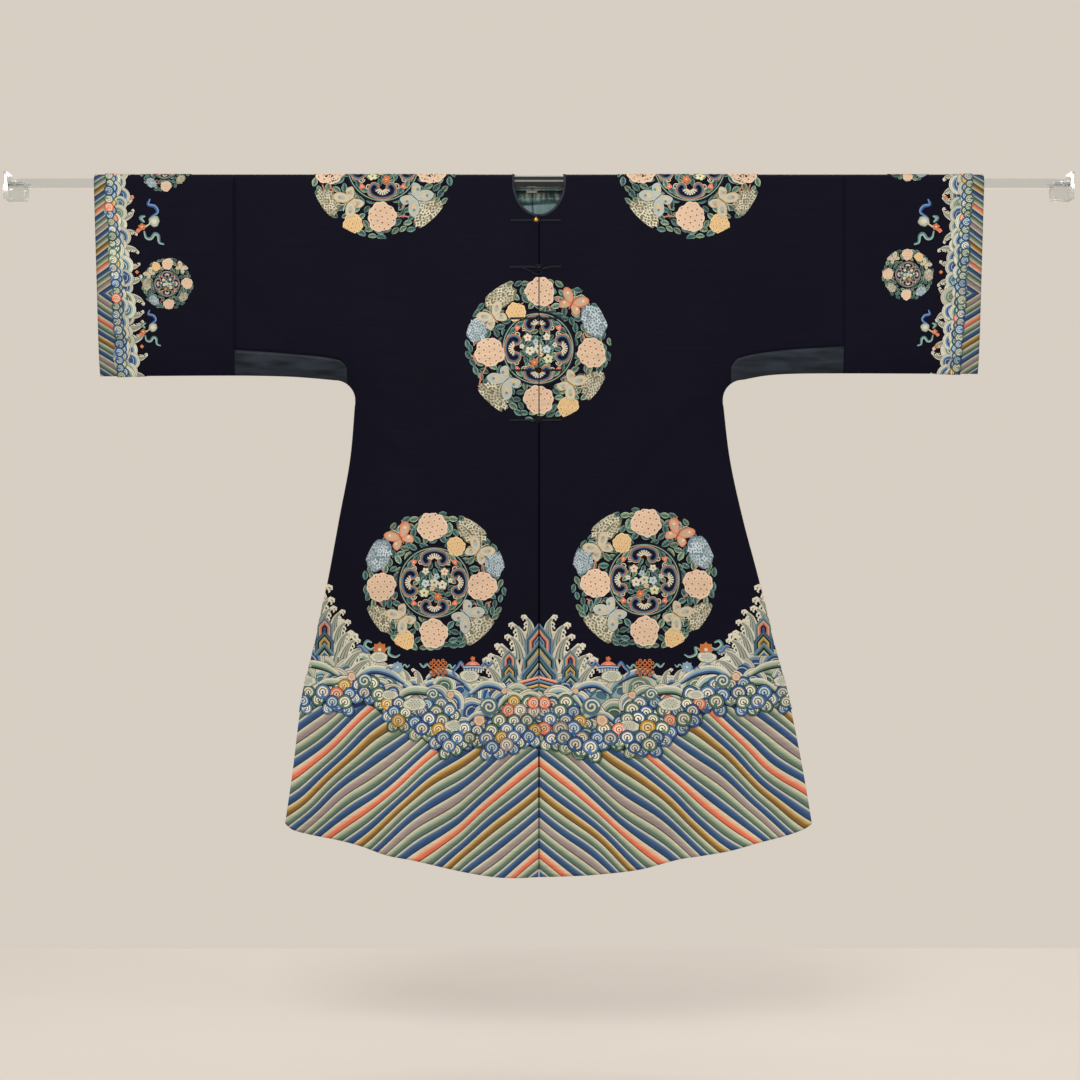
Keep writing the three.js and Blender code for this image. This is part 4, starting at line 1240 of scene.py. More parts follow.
def cloud_head():
    """A ruyi head: an arch with both ends curled in, edged orange round blue, with a cream comb inside."""
    half = np.array([(-0.52, -0.16), (-0.36, -0.22), (-0.42, -0.46), (-0.66, -0.50), (-0.86, -0.20),
                     (-0.74, 0.16), (-0.38, 0.34), (0.0, 0.40)])
    path = smooth_path(np.vstack([half, half[-2::-1] * (-1, 1)]), 3)
    arch = band(path, 0.27, (INK, (52, 82, 128), BLUE_GREY, INK, ORANGE_BROWN, PEACH), 1.0,
                edges=(-0.52, -0.26, -0.02, 0.16, 0.22, 0.46, 0.54))
    ground = disc(closed_path([(-0.8, -0.2), (-0.6, 0.3), (0, 0.5), (0.6, 0.3), (0.8, -0.2), (0, -0.15)]),
                  (INK, INK), (0.6, 1.0))
    turns = np.linspace(-1.15, 1.15, 7)
    tooth = band([(0, 0.18), (0, 0.48)], (0.07, 0.11), (CREAM,), 1.4)
    teeth = scatter(tooth, np.full((7, 2), (0.0, -0.26)), turns, 1.0, 0.0, 1.0)
    base = band([(-0.24, -0.22), (0, -0.08), (0.24, -0.22)], 0.09, (ORANGE_BROWN, CREAM), 1.6)
    return gather([ground, arch, teeth, base])


def small_flower(petal, eye, lobes=5):
    """An open flower, radius 1, of rounded petals about an eye."""
    outline = round_outline(20, lobes, 0.34)
    return gather([disc(outline, (petal, petal), (0.6, 1.0)), place(star(5, 0.7, eye), 0, 0, 0, 0.26, 0.5)])


def turned_leaves(places, turns, sizes, draw, layer):
    """Leaves of both kinds at the places given."""
    teal = draw.random(len(places)) < 0.64
    tints = draw.uniform(0.84, 1.10, len(places))
    layers = layer + draw.integers(0, 3, len(places)) * 0.5
    return [scatter(kind, places[chosen], turns[chosen], sizes[chosen], layers[chosen], tints[chosen])
            for kind, chosen in ((TEAL_LEAF, teal), (SAGE_LEAF, ~teal)) if chosen.any()]


# What fills a large roundel, radius 1: kind, how far right and up, its radius and its turn
ROUNDEL_HEADS = (
    ("peach", 0.03, 0.775, 0.20), ("peach", -0.66, -0.05, 0.20), ("peach", 0.01, -0.70, 0.20),
    ("peach", 0.735, -0.06, 0.20), ("yellow", -0.30, 0.50, 0.13), ("yellow", 0.41, -0.80, 0.14),
    ("olive", -0.52, 0.72, 0.20), ("olive", -0.62, -0.66, 0.21), ("olive", 0.76, -0.50, 0.18),
    ("blue", -0.83, 0.26, 0.16), ("blue", 0.77, 0.38, 0.20),
)
ROUNDEL_BUTTERFLIES = (
    ("orange", 0.46, 0.61, 0.185, -0.5), ("pale", -0.60, 0.42, 0.185, 0.6),
    ("blue", -0.43, -0.43, 0.205, 2.3), ("pale", 0.43, -0.47, 0.19, -2.2),
)
BUTTERFLY_DYES = {
    "orange": ((204, 130, 96), (206, 158, 130), (186, 170, 150), (226, 206, 178)),
    "pale": ((204, 180, 144), (196, 194, 174), (170, 176, 166), (190, 138, 104)),
    "blue": ((182, 190, 182), (176, 184, 178), (204, 186, 152), BLUE_GREY),
}


# How the head of each kind is made, and its dyes
HEADS = {
    "peach": (flower_head, (PEACH, PEACH_LIGHT)),
    "yellow": (flower_head, (YELLOW_PEACH, (238, 208, 158))),
    "olive": (floret_cluster, (PETAL_WHITE, OLIVE_DARK, OLIVE)),
    "blue": (floret_cluster, (MILK_BLUE, BLUE_GREY, (104, 126, 146))),
}


def roundel(seed, heads=ROUNDEL_HEADS, butterflies=ROUNDEL_BUTTERFLIES, spacing=0.114):
    """A roundel of radius 1: packed leaves, flower heads and butterflies round a ring of cloud heads.

    What would stand out past the rim is drawn in to it."""
    draw = np.random.default_rng(seed)
    places = packed_places(spacing, 0.985, draw, 0.12)
    reach = np.hypot(places[:, 0], places[:, 1])
    busy = np.array([(item[1], item[2], item[3] * 0.86) for item in heads]
                    + [(item[1], item[2], item[3] * 0.42) for item in butterflies])
    apart = np.hypot(places[:, None, 0] - busy[:, 0], places[:, None, 1] - busy[:, 1])
    free = (apart > busy[:, 2]).all(1) & (reach > 0.51)
    places, reach = places[free], reach[free]
    angle = np.arctan2(places[:, 1], places[:, 0])
    lean = draw.uniform(-1.25, 1.25, len(places)) * np.where(reach > 0.86, 0.45, 1.0)
    sizes = spacing * draw.uniform(0.98, 1.24, len(places))
    parts = turned_leaves(places, angle + QUARTER + lean, sizes, draw, 1.0)
    for _ in range(20):
        angle = draw.uniform(0, CIRCLE)
        start = draw.uniform(0.56, 0.90) * np.array([np.cos(angle), np.sin(angle)])
        step = 0.10 * np.array([-np.sin(angle), np.cos(angle)]) * draw.choice([-1, 1])
        step = step + draw.normal(0, 0.04, 2)
        twig = smooth_path([start, start + step * 0.5 + 0.012, start + step], 3)
        parts.append(band(twig, 0.017, (PINK,), 2.6))
        parts.append(band([start + step * 0.5, start + step * 0.8 + 0.035], 0.013, (PINK,), 2.6))
    for kind, x, up, size in heads:
        make, dyes = HEADS[kind]
        head = make(*dyes, draw)
        if make is floret_cluster:
            parts.append(place(reshaped(head, 1.16, 0.88), x, up, np.arctan2(up, x) + QUARTER, size, 3.2))
        else:
            parts.append(place(head, x, up, draw.uniform(0, 6), size, 3.2))
    for kind, x, up, size, turn in butterflies:
        parts.append(place(butterfly(*BUTTERFLY_DYES[kind]), x, up, turn, size, 4.4))
    points, faces, dyes = gather(parts + ring_middle(draw))
    reach = np.hypot(points[:, 0], points[:, 1])
    points[:, :2] *= np.minimum(1, 1 / np.maximum(reach, 1e-9))[:, None]
    return points, faces, dyes


def ring_middle(draw):
    """The middle of a roundel: a fine ring, scrolls and leaves, four cloud heads and a small nosegay."""
    parts = [band(round_outline(60) * 0.485, 0.06, (INK, TEAL_LIGHT, INK), 3.0, closed=True,
                  edges=(-0.5, 0.02, 0.24, 0.5))]
    count = 24
    angle = (np.arange(count) + 0.5) * CIRCLE / count
    turns = angle + QUARTER + draw.uniform(-0.4, 0.4, count)
    parts += turned_leaves(polar(0.425, angle), turns, np.full(count, 0.125), draw, 2.0)
    scroll = band(spiral(1.25, 14, 1.0, 0.25), 0.46, (CREAM, TEAL), 2.6)
    diagonal = (np.arange(4) + 0.5) * QUARTER
    for side in (-0.2, 0.2):
        parts.append(scatter(scroll, polar(0.345, diagonal + side), diagonal * 1.7, 0.042, 0.0, 1.0))
    parts.append(scatter(small_flower(SALMON, CREAM, 3), polar(0.40, diagonal), diagonal, 0.042, 3.4, 1.0))
    head = cloud_head()
    for quarter in range(4):
        turn = quarter * QUARTER
        parts.append(place(head, -0.36 * np.sin(turn), 0.36 * np.cos(turn), turn, 0.20, 3.4))
    inner = packed_places(0.088, 0.27, draw, 0.10)
    parts += turned_leaves(inner, draw.uniform(0, 6.3, len(inner)), np.full(len(inner), 0.105), draw, 2.0)
    nosegay = ((0.0, 0.0, 0.068, PETAL_WHITE, OLIVE), (-0.14, 0.15, 0.058, PEACH_LIGHT, BROWN),
               (0.12, 0.16, 0.052, CREAM, BROWN), (-0.11, -0.03, 0.066, CREAM, OLIVE),
               (0.12, -0.01, 0.060, MILK_BLUE, BLUE_GREY), (0.14, -0.14, 0.068, (212, 212, 170), OLIVE),
               (-0.05, -0.19, 0.058, ORANGE, SALMON_LIGHT), (-0.03, 0.09, 0.044, PALE_BLUE, BLUE),
               (0.03, -0.08, 0.040, PEACH, BROWN), (-0.22, 0.03, 0.036, CREAM, OLIVE),
               (0.23, 0.05, 0.038, PETAL_WHITE, TEAL_DARK))
    for x, up, size, petal, eye in nosegay:
        parts.append(place(small_flower(petal, eye), x, up, draw.uniform(0, 6), size, 4.2))
    return parts


SMALL_HEADS = (
    ("peach", 0.02, 0.76, 0.21), ("yellow", -0.42, 0.66, 0.17), ("peach", 0.76, 0.02, 0.21),
    ("olive", -0.78, -0.02, 0.21), ("blue", -0.50, -0.64, 0.19), ("peach", 0.06, -0.77, 0.20),
    ("olive", 0.62, -0.50, 0.18),
)
SMALL_BUTTERFLIES = (("pale", 0.54, 0.60, 0.22, -0.6), ("pale", -0.66, 0.38, 0.20, 0.7))


# Waves, rocks and clouds

def cloud_curl(body, line):
    """One curl of cloud, radius 1, a little wide and pointed: dark, pale and dyed rings, cut open below."""
    angle = np.arange(14) * CIRCLE / 14
    point = 0.16 * np.exp(-((angle - 0.5 * np.pi) / 0.5) ** 2)
    outline = np.column_stack([1.08 * (1 + point) * np.cos(angle), 0.96 * (1 + point) * np.sin(angle)])
    dark = tuple(0.36 * np.array(body))
    rings = disc(outline, (dark, line, dark, line, body, dark), (0.12, 0.36, 0.47, 0.69, 0.95, 1.05))
    foot = band([(0.0, -0.12), (0.12, -0.50), (0.04, -0.92)], (0.20, 0.44, 0.80), (body,), 0.3)
    return gather([rings, foot])


SALMON_PALE = (240, 196, 170)
# Body and line of each kind of curl, and its share
CURL_DYES = (
    (BLUE, (172, 194, 202), 30), ((80, 116, 158), CREAM, 18), ((72, 104, 98), (192, 202, 182), 26),
    ((108, 136, 118), CREAM, 8), (SALMON, SALMON_PALE, 3), (GOLD, (226, 198, 140), 3),
    (LAVENDER, (206, 200, 192), 4),
)
# Dyes of the top curl and of the pair below it, and the share of each kind of three
TREFOIL_DYES = (
    ((BLUE, PALE_BLUE), ((86, 122, 164), CREAM), 24), ((SAGE_DARK, CREAM), (BLUE, PALE_BLUE), 20),
    (((80, 116, 158), CREAM), ((72, 104, 98), CREAM), 18), ((SALMON, SALMON_PALE), (BLUE, PALE_BLUE), 8),
    ((GOLD, (230, 204, 150)), (SAGE_DARK, CREAM), 7), ((LAVENDER, CREAM), (BLUE, PALE_BLUE), 6),
    ((BLUE, CREAM), ((118, 146, 124), CREAM), 14),
)


def cloud_trefoil(top, low):
    """Three curls, one over a mirrored pair, about 2 across; top and low are body and line."""
    side = cloud_curl(*low)
    return gather([place(side, 0.60, -0.30, -0.45, 0.62), place(side, -0.60, -0.30, 0.45, 0.62, 0, True),
                   place(cloud_curl(*top), 0.0, 0.32, 0, 0.70, 0.5)])


def kinds_and_shares(make, table):
    """Each kind of a table made once, and the share of each."""
    shares = np.array([row[-1] for row in table], float)
    return tuple(make(*row[:-1]) for row in table), shares / shares.sum()


CURLS = kinds_and_shares(cloud_curl, CURL_DYES)
TREFOILS = kinds_and_shares(cloud_trefoil, TREFOIL_DYES)


def curl_bank(start, end, low, high, size, draw, layer, rows=0):
    """Curls massed between two lines: rows offset like bricks, each one moved, turned and sized a little.

    low and high give the height of the two lines at a distance along. If given, rows limits their number,
    and the curls are single ones. Else they are in threes."""
    (kinds, shares), across, rise = (CURLS, 1.80, 0.62) if rows else (TREFOILS, 1.50, 0.92)
    reach = np.linspace(start, end, 50)
    lowest = low(reach).min()
    row_count = rows or int((high(reach).max() - lowest) / (rise * size)) + 1
    columns = int((end - start) / (across * size)) + 1
    column, row = np.meshgrid(np.arange(columns), np.arange(row_count))
    along = start + (column + 0.5 * (row % 2) + 0.3) * across * size
    along = along + draw.normal(0, 0.10 * size, column.shape)
    height = (low(along) if rows else lowest) + (0.8 + row * rise) * size
    height = height + draw.normal(0, 0.10 * size, column.shape)
    kept = (height > low(along) + 0.5 * size) & (height < high(along) + 0.1 * size) & (along < end)
    places = np.stack([along, height], -1)[kept]
    sizes = size * draw.uniform(0.88, 1.16, len(places))
    layers = layer + (row_count - row[kept]) * 0.8 + (column[kept] % 2) * 0.4
    chosen = draw.choice(len(kinds), len(places), p=shares)
    turns = draw.normal(0, 0.30, len(places))
    tints = draw.uniform(0.88, 1.12, len(places))
    return [scatter(kinds[kind], places[chosen == kind], turns[chosen == kind], sizes[chosen == kind],
                    layers[chosen == kind], tints[chosen == kind])
            for kind in range(len(kinds)) if (chosen == kind).any()]


def wave(inner, middle):
    """A wave about 2 wide: a leaning hump of bands from a cream crest in to a dyed hollow."""
    hump = [(-0.92, -0.42), (-0.82, 0.14), (-0.42, 0.52), (0.08, 0.58), (0.52, 0.30), (0.80, -0.30)]
    path = smooth_path(hump, 3)
    share = np.linspace(0, 1, len(path))
    width = 0.40 + 0.34 * np.sin(np.pi * share)
    tones = (DARK_LINE, inner, middle, (180, 190, 174), CREAM, (118, 130, 126), CREAM, DARK_LINE)
    crest = band(path, width, tones, 0.3, edges=(-0.62, -0.56, -0.22, 0.02, 0.12, 0.28, 0.34, 0.50, 0.55))
    below = [(-0.8, -0.45), (-0.5, 0.2), (0.1, 0.3), (0.6, -0.2), (0.4, -0.6), (-0.3, -0.7)]
    hollow = disc(closed_path(below, 2), (inner, middle), (0.5, 1.0))
    inside = band(path[3:-3] * (0.52, 0.46) - (0, 0.10), 0.14, (DARK_LINE, middle, CREAM), 0.5)
    return gather([hollow, crest, inside])


WAVES = (
    wave((48, 78, 128), (112, 146, 176)), wave((74, 112, 132), (146, 174, 172)),
    wave((70, 100, 92), (140, 160, 138)), wave((112, 138, 126), (178, 190, 168)),
)


def spray():
    """A tongue of spray 1 long that leans to the right: comb lines, a curled tip and claws of foam below."""
    path = smooth_path([(0, 0), (0.03, 0.34), (0.14, 0.66), (0.36, 0.90)], 4)
    share = np.linspace(0, 1, len(path))
    width = 0.46 * (1 - share) ** 0.9 + 0.08
    grey, pale, white = (88, 98, 94), (156, 162, 150), (202, 200, 184)
    tongue = band(path, width, (white, grey, pale, grey, pale, grey, white), 0.0,
                  edges=(-0.5, -0.32, -0.24, -0.06, 0.02, 0.20, 0.28, 0.5))
    tip = band([(0.31, 0.86), (0.43, 0.96), (0.53, 0.92), (0.53, 0.82)], (0.11, 0.10, 0.09, 0.07),
               (CREAM,), 0.15)
    claw = band([(-0.03, 0.05), (0.07, 0.03), (0.12, -0.04), (0.09, -0.08)], (0.085, 0.075, 0.06, 0.04),
                (CREAM,), 0.15)
    index = np.round(np.linspace(0.25, 0.88, 4) * (len(path) - 1)).astype(int)
    places = path[index] + np.column_stack([width[index] * 0.46, 0 * index])
    return gather([tongue, tip, scatter(claw, places, -0.25, 1.0, 0.0, 1.0)])


SPRAY = spray()


def nested_arches(half_width, base, apex, slope, tones, layer):
    """Pointed arches one inside the other: upright legs, and roofs that drop by the slope from the peak."""
    drawn_in = np.linspace(0, 1, len(tones) + 1)[:, None] * half_width
    across = np.array([-1, -1, -0.5, 0, 0.5, 1, 1])[None]
    x = (half_width - drawn_in) * across
    up = apex - drawn_in * np.hypot(1, slope) - slope * np.abs(x)
    up[:, [0, -1]] = base
    points = np.stack([x, np.maximum(up, base), np.full(x.shape, float(layer))], -1)
    faces = two_triangles(grid_faces(*x.shape))
    dyes = 0.86 * np.repeat(np.asarray(tones, float), 2 * (x.shape[1] - 1), axis=0)
    return points.reshape(-1, 3), faces, dyes


def rock(half_width, height, stacks, slope=1.15):
    """A rock of stacked arches, each lower one wider and in front; half_width is that of its foot.

    Each stack is its peak and foot as shares of the height, its width as a share, and its dyes from
    outside."""
    return gather([nested_arches(half_width * width, foot * height, peak * height, slope, tones, step * 0.7)
                   for step, (peak, foot, width, tones) in enumerate(stacks)])


ROCK_STACKS = (
    (1.00, 0.34, 0.74, (BLUE_LIGHT, BLUE, TEAL, SALMON_LIGHT, SALMON, INK, BLUE_LIGHT, BLUE, SAGE, INK)),
    (0.68, 0.20, 0.88, (BLUE_LIGHT, TEAL, INK, SAGE, GOLD_LIGHT, GOLD, INK, BLUE_LIGHT, BLUE, INK, SAGE)),
    (0.46, 0.0, 1.00, (BLUE_LIGHT, BLUE, TEAL, INK, SAGE_LIGHT, LAVENDER, INK, BLUE_LIGHT, BLUE, INK,
                       SAGE, INK)),
)
SMALL_ROCK_STACKS = (
    (1.00, 0.30, 0.82, (BLUE_LIGHT, TEAL, SALMON_LIGHT, SALMON, INK, BLUE)),
    (0.64, 0.0, 0.93, (BLUE, TEAL, INK, GOLD_LIGHT, GOLD, INK, BLUE_LIGHT)),
    (0.34, 0.0, 1.00, (BLUE_LIGHT, TEAL, INK, SAGE_LIGHT, BLUE, INK)),
)
FOOT_TIERS = (INK, TEAL, BLUE_LIGHT, INK, GOLD, GOLD_LIGHT, INK, BLUE, BLUE_LIGHT, INK,
              SALMON, SALMON_LIGHT)


def rock_foot(half_width, drop):
    """The flat chevrons at the foot of the middle rock, each wider than the one below."""
    heights = np.linspace(-drop, 0, len(FOOT_TIERS) + 1)[:, None]
    reach = half_width * np.linspace(0.06, 1.04, len(FOOT_TIERS) + 1)[:, None] ** 0.8
    x = reach * np.array([-1.0, -0.5, 0, 0.5, 1.0])[None]
    up = heights - 0.26 * np.abs(x) + 0.26 * half_width * 0.6
    points = np.stack([x, up, np.full(x.shape, 2.5)], -1)
    dyes = np.repeat(np.asarray(FOOT_TIERS, float), 8, axis=0)
    return points.reshape(-1, 3), two_triangles(grid_faces(*x.shape)), dyes


def spiral_wave():
    """A breaking wave's spiral, radius 1: cream, green and blue wound round one another."""
    ground = disc(round_outline(18), ((74, 104, 100), SAGE_DARK), (0.6, 1.0))
    wound = band(spiral(1.6, 30, 0.90, 0.16), 0.34, (BLUE, SAGE, CREAM, CREAM), 0.5,
                 edges=(-0.5, -0.2, 0.05, 0.3, 0.5))
    return gather([ground, wound])


def ribbon_scroll(points, tones, width, layer):
    """A silk ribbon along given points, widest in its middle."""
    path = smooth_path(points, 4)
    share = np.linspace(0, 1, len(path))
    return band(path, width * (0.45 + 0.55 * np.sin(np.pi * share)), tones, layer)


def endless_knot():
    """The endless knot, about 2 across: four slanting cords each way, with loops at their ends."""
    parts = []
    for turn in (EIGHTH, -EIGHTH):
        for at in (-0.54, -0.18, 0.18, 0.54):
            reach = 0.92 - 0.45 * abs(at)
            bar = band([(-reach, at), (0.0, at), (reach, at)], 0.15, (INK, (184, 108, 62), ORANGE), 0.0,
                       edges=(-0.72, -0.42, 0.1, 0.5))
            parts.append(place(bar, 0, 0, turn, 1, 0.5 if turn > 0 else 0))
    loop = band(round_outline(10) * 0.14, 0.11, (INK, ORANGE), 0.8, edges=(-0.8, -0.4, 0.5), closed=True)
    for turn in np.arange(4) * QUARTER + EIGHTH:
        for side in (-0.20, 0.20):
            parts.append(place(place(loop, 0.90, side), 0, 0, turn))
    return gather(parts)


def canopy_emblem():
    """A canopy about 2 across: a salmon dome, a blue band, a white fringe and a finial."""
    dome = disc(closed_path([(-0.8, 0.0), (-0.5, 0.4), (0, 0.56), (0.5, 0.4), (0.8, 0.0), (0.0, -0.1)]),
                (SALMON_LIGHT, SALMON, INK), (0.5, 0.88, 1.0))
    blue_band = band([(-0.92, -0.06), (0, 0.0), (0.92, -0.06)], 0.34, (BLUE, PALE_BLUE, BLUE), 0.5)
    fringe = [band([(at, -0.18), (at * 0.94, -0.55)], 0.17, (CREAM, PALE_BLUE), 0.5)
              for at in np.linspace(-0.78, 0.78, 7)]
    finial = place(small_flower(ORANGE, SALMON), 0, 0.72, 0, 0.24, 0.5)
    corners = [place(small_flower(ORANGE, BLUE), at, 0.16, 0, 0.18, 0.5) for at in (-0.95, 0.95)]
    return gather([dome, blue_band, finial] + corners + fringe)


def petal_emblem(tone, other):
    """An eight-petalled emblem, radius 1."""
    return gather([disc(round_outline(24, 8, 0.42), (other, tone, tone), (0.3, 0.6, 1.0)),
                   place(star(8, 0.5, CREAM), 0, 0, 0, 0.30, 0.5)])


TEAL_RIBBON = ((150, 180, 172), (92, 132, 134))
BLUE_RIBBON = ((112, 146, 186), (56, 86, 146))


def foam(draw):
    """A patch of foam about 2 across: pale, with small dark-eyed rings in it."""
    ground = disc(uneven_outline(34, 7, draw) * (1.25, 0.72),
                  ((176, 182, 168), (206, 206, 190), (96, 108, 104)), (0.6, 0.92, 1.0))
    places = packed_places(0.30, 0.74, draw, 0.10) * (1.15, 0.8)
    ring = disc(round_outline(6), ((84, 98, 98), (212, 212, 196)), (0.55, 1.0))
    rings = scatter(ring, places, 0.0, 0.12, 0.4, 1.0)
    return gather([ground, rings])


def fan_emblem(draw):
    """A fan and flute crossed, with a knot of flowers, about 2 across."""
    return gather([
        band([(-0.9, -0.5), (0.0, 0.05), (0.5, 0.4)], (0.20, 0.18, 0.14), ((150, 140, 116), CREAM), 0.6),
        place(disc(uneven_outline(20, 7, draw), ((200, 206, 190), PETAL_GREY, SAGE_DARK), (0.5, 0.88, 1.0)),
              0.75, 0.55, 0, 0.62, 0.4),
        place(small_flower(ORANGE, CREAM), -0.55, -0.05, 0.4, 0.40, 1.0),
        place(small_flower(SALMON, ORANGE_BROWN, 4), -0.95, -0.45, 0.1, 0.26, 1.0)])


# Ribbons of each emblem: their line, dyes and width
EMBLEM_RIBBONS = {
    "knot": (([(0.8, -0.1), (1.2, 0.4), (1.6, 0.1), (2.0, 0.5)], TEAL_RIBBON, 0.26),
             ([(-0.8, -0.1), (-1.2, 0.3), (-1.5, -0.1), (-1.9, 0.3)], TEAL_RIBBON, 0.26)),
    "canopy": (([(-0.8, 0), (-1.1, 0.4), (-1.4, 0.1), (-1.8, 0.4)], BLUE_RIBBON, 0.26),
               ([(0.8, 0), (1.1, 0.45), (1.4, 0.0), (1.8, -0.5), (1.5, -0.9)], BLUE_RIBBON, 0.26)),
    "petals": (([(-0.6, 0.3), (-1.2, 0.0), (-1.9, 0.5), (-1.6, 1.1), (-1.0, 0.9)], TEAL_RIBBON, 0.4),
               ([(-1.3, -0.4), (-1.9, -0.2), (-2.4, 0.4), (-2.9, 0.3)], BLUE_RIBBON, 0.4),
               ([(0.7, 0.0), (1.3, 0.3), (1.2, -0.5), (2.0, -0.9), (2.6, -0.6)], TEAL_RIBBON, 0.34)),
    "fan": (([(0.4, 1.0), (1.1, 1.5), (0.8, 2.1), (0.1, 2.3), (0.3, 2.9)], BLUE_RIBBON, 0.36),
            ([(-0.3, -0.5), (-0.1, -1.2), (0.4, -1.3), (0.8, -0.8), (1.2, -1.0), (1.3, -1.7), (1.8, -1.9)],
             TEAL_RIBBON, 0.36),
            ([(-0.3, 0.4), (-0.7, 0.9), (-0.2, 1.1)], TEAL_RIBBON, 0.36)),
    "blue": (([(-0.7, 0), (-1.2, 0.4), (-1.6, 0.0), (-2.0, 0.4)], TEAL_RIBBON, 0.3),
             ([(0.7, 0), (1.1, -0.4), (1.6, 0.0), (2.0, -0.3)], BLUE_RIBBON, 0.3)),
}


def emblem_group(kind, draw):
    """An emblem with its ribbons, about 2 across. Only the knot lies over its ribbons."""
    if kind == "knot":
        parts = [endless_knot()]
    elif kind == "canopy":
        parts = [canopy_emblem()]
    elif kind == "petals":
        parts = [petal_emblem((190, 112, 62), ORANGE), place(foam(draw), -0.1, -0.95, 0, 0.95, 0.6)]
    elif kind == "fan":
        parts = [fan_emblem(draw)]
    else:
        parts = [petal_emblem(BLUE_LIGHT, BLUE)]
    layer = 0.0 if kind == "knot" else 3.0
    return gather(parts + [ribbon_scroll(*ribbon, layer) for ribbon in EMBLEM_RIBBONS[kind]])


def wave_bank(start, end, low, high, size, rows, draw, layer):
    """Waves heaped in rows between two lines, the lower rows in front, leaning either way."""
    parts = []
    for row in range(rows):
        share = 1 - row / max(rows - 1, 1)
        along = np.arange(start - 0.5 * size, end + size, 1.36 * size) + (row % 2) * 0.68 * size
        along = along + draw.normal(0, 0.16 * size, len(along))
        height = low(along) + (high(along) - low(along)) * share * 0.86 - 0.30 * size
        height = height + draw.normal(0, 0.12 * size, len(along))
        sizes = size * draw.uniform(0.85, 1.3, len(along))
        layers = layer + row * 1.3 + (np.arange(len(along)) % 3) * 0.4
        kinds = draw.choice(len(WAVES), len(along), p=(0.44, 0.24, 0.16, 0.16))
        leans = draw.random(len(along)) < 0.5
        turns = draw.normal(0, 0.30, len(along))
        tints = draw.uniform(0.90, 1.06, len(along))
        for kind, shape in enumerate(WAVES):
            for mirror in (False, True):
                chosen = (kinds == kind) & (leans == mirror)
                if chosen.any():
                    parts.append(scatter(reshaped(shape, -1 if mirror else 1, 1),
                                         np.column_stack([along, height])[chosen], turns[chosen],
                                         sizes[chosen], layers[chosen], tints[chosen]))
    return parts


def fill_bank(start, end, low, high, step, tones):
    """The dyed ground between two lines, in steps along and as many bands up as it has tones."""
    along = np.linspace(start, end, int((end - start) / step) + 2)
    shares = np.linspace(0, 1, 10)
    up = low(along)[:, None] + (high(along) - low(along))[:, None] * shares[None]
    x = np.broadcast_to(along[:, None], up.shape)
    points = np.stack([x, up, np.zeros(up.shape)], -1)
    faces = two_triangles(grid_faces(len(along), len(shares)))
    across = np.repeat(np.tile(np.arange(len(shares) - 1), len(along) - 1), 2)
    return points.reshape(-1, 3), faces, np.asarray(tones, float)[across * len(tones) // (len(shares) - 1)]


def hem_low(along):
    """Height of the lower edge of the hem's curls: level in the middle, rising to the sides, scalloped."""
    across = np.abs(along)
    return -1152 + 82 * ease(190, 350, across) + 8 * np.sin(across / 17.0)


def hem_high(along):
    """Height where the hem's curls meet the waves."""
    across = np.abs(along)
    return (-1056 + 34 * ease(200, 330, across) - 50 * ease(58, 96, across) * ease(200, 150, across)
            + 8 * np.sin(across / 27.0 + 1.0))


def hem_top(along):
    """Height of the crests of the hem's waves."""
    across = np.abs(along)
    return -1006 + 46 * ease(200, 430, across) + 7 * np.sin(across / 23.0)


SIDE_WIDTH = 490


# Long swells among the waves: their line on one half, their dyes and their width
SWELL_BLUE = (DARK_LINE, BLUE, BLUE_LIGHT, (168, 182, 170), CREAM)
SWELL_GREEN = (DARK_LINE, SAGE_DARK, SAGE, (176, 186, 166), CREAM)
HEM_SWEEPS = (
    ([(150, -1012), (178, -994), (206, -990), (226, -1004)], SWELL_BLUE, 17),
    ([(60, -1036), (84, -1018), (112, -1016), (138, -1034)], SWELL_BLUE, 16),
    ([(188, -1050), (222, -1030), (262, -1028), (292, -1050)], SWELL_GREEN, 19),
    ([(270, -1012), (300, -992), (338, -986), (372, -1004)], SWELL_BLUE, 19),
    ([(352, -1046), (388, -1020), (428, -1012), (462, -1034)], SWELL_GREEN, 18),
    ([(404, -998), (432, -982), (466, -976), (490, -990)], SWELL_GREEN, 17),
    ([(26, -1052), (46, -1038), (66, -1042), (82, -1062)], SWELL_GREEN, 15),
    ([(80, -1090), (104, -1076), (130, -1078), (150, -1098)], SWELL_BLUE, 14),
)
# Tongues of spray on one half: foot, length and how much further each leans from its rock
SPRAYS_BY_MIDDLE = (
    (30, -1010, 84, -0.30), (52, -1012, 76, -0.12), (72, -1020, 64, 0.10), (20, -926, 48, -0.25),
    (33, -942, 52, -0.02), (38, -964, 52, 0.05), (58, -974, 46, 0.15), (68, -992, 46, 0.24),
    (80, -1012, 46, 0.35), (92, -1024, 40, 0.55), (240, -1012, 30, 0.0), (262, -1006, 26, 0.2),
)
SPRAYS_BY_SIDE = (
    (424, -972, 84, -0.20), (408, -986, 76, 0.0), (392, -994, 64, 0.20), (454, -880, 66, -0.02),
    (450, -900, 62, 0.03), (444, -908, 54, 0.10), (414, -914, 48, -0.10), (409, -934, 50, 0.02),
    (404, -952, 48, 0.08), (396, -964, 48, 0.22), (386, -978, 46, 0.46), (374, -990, 44, 0.66),
)
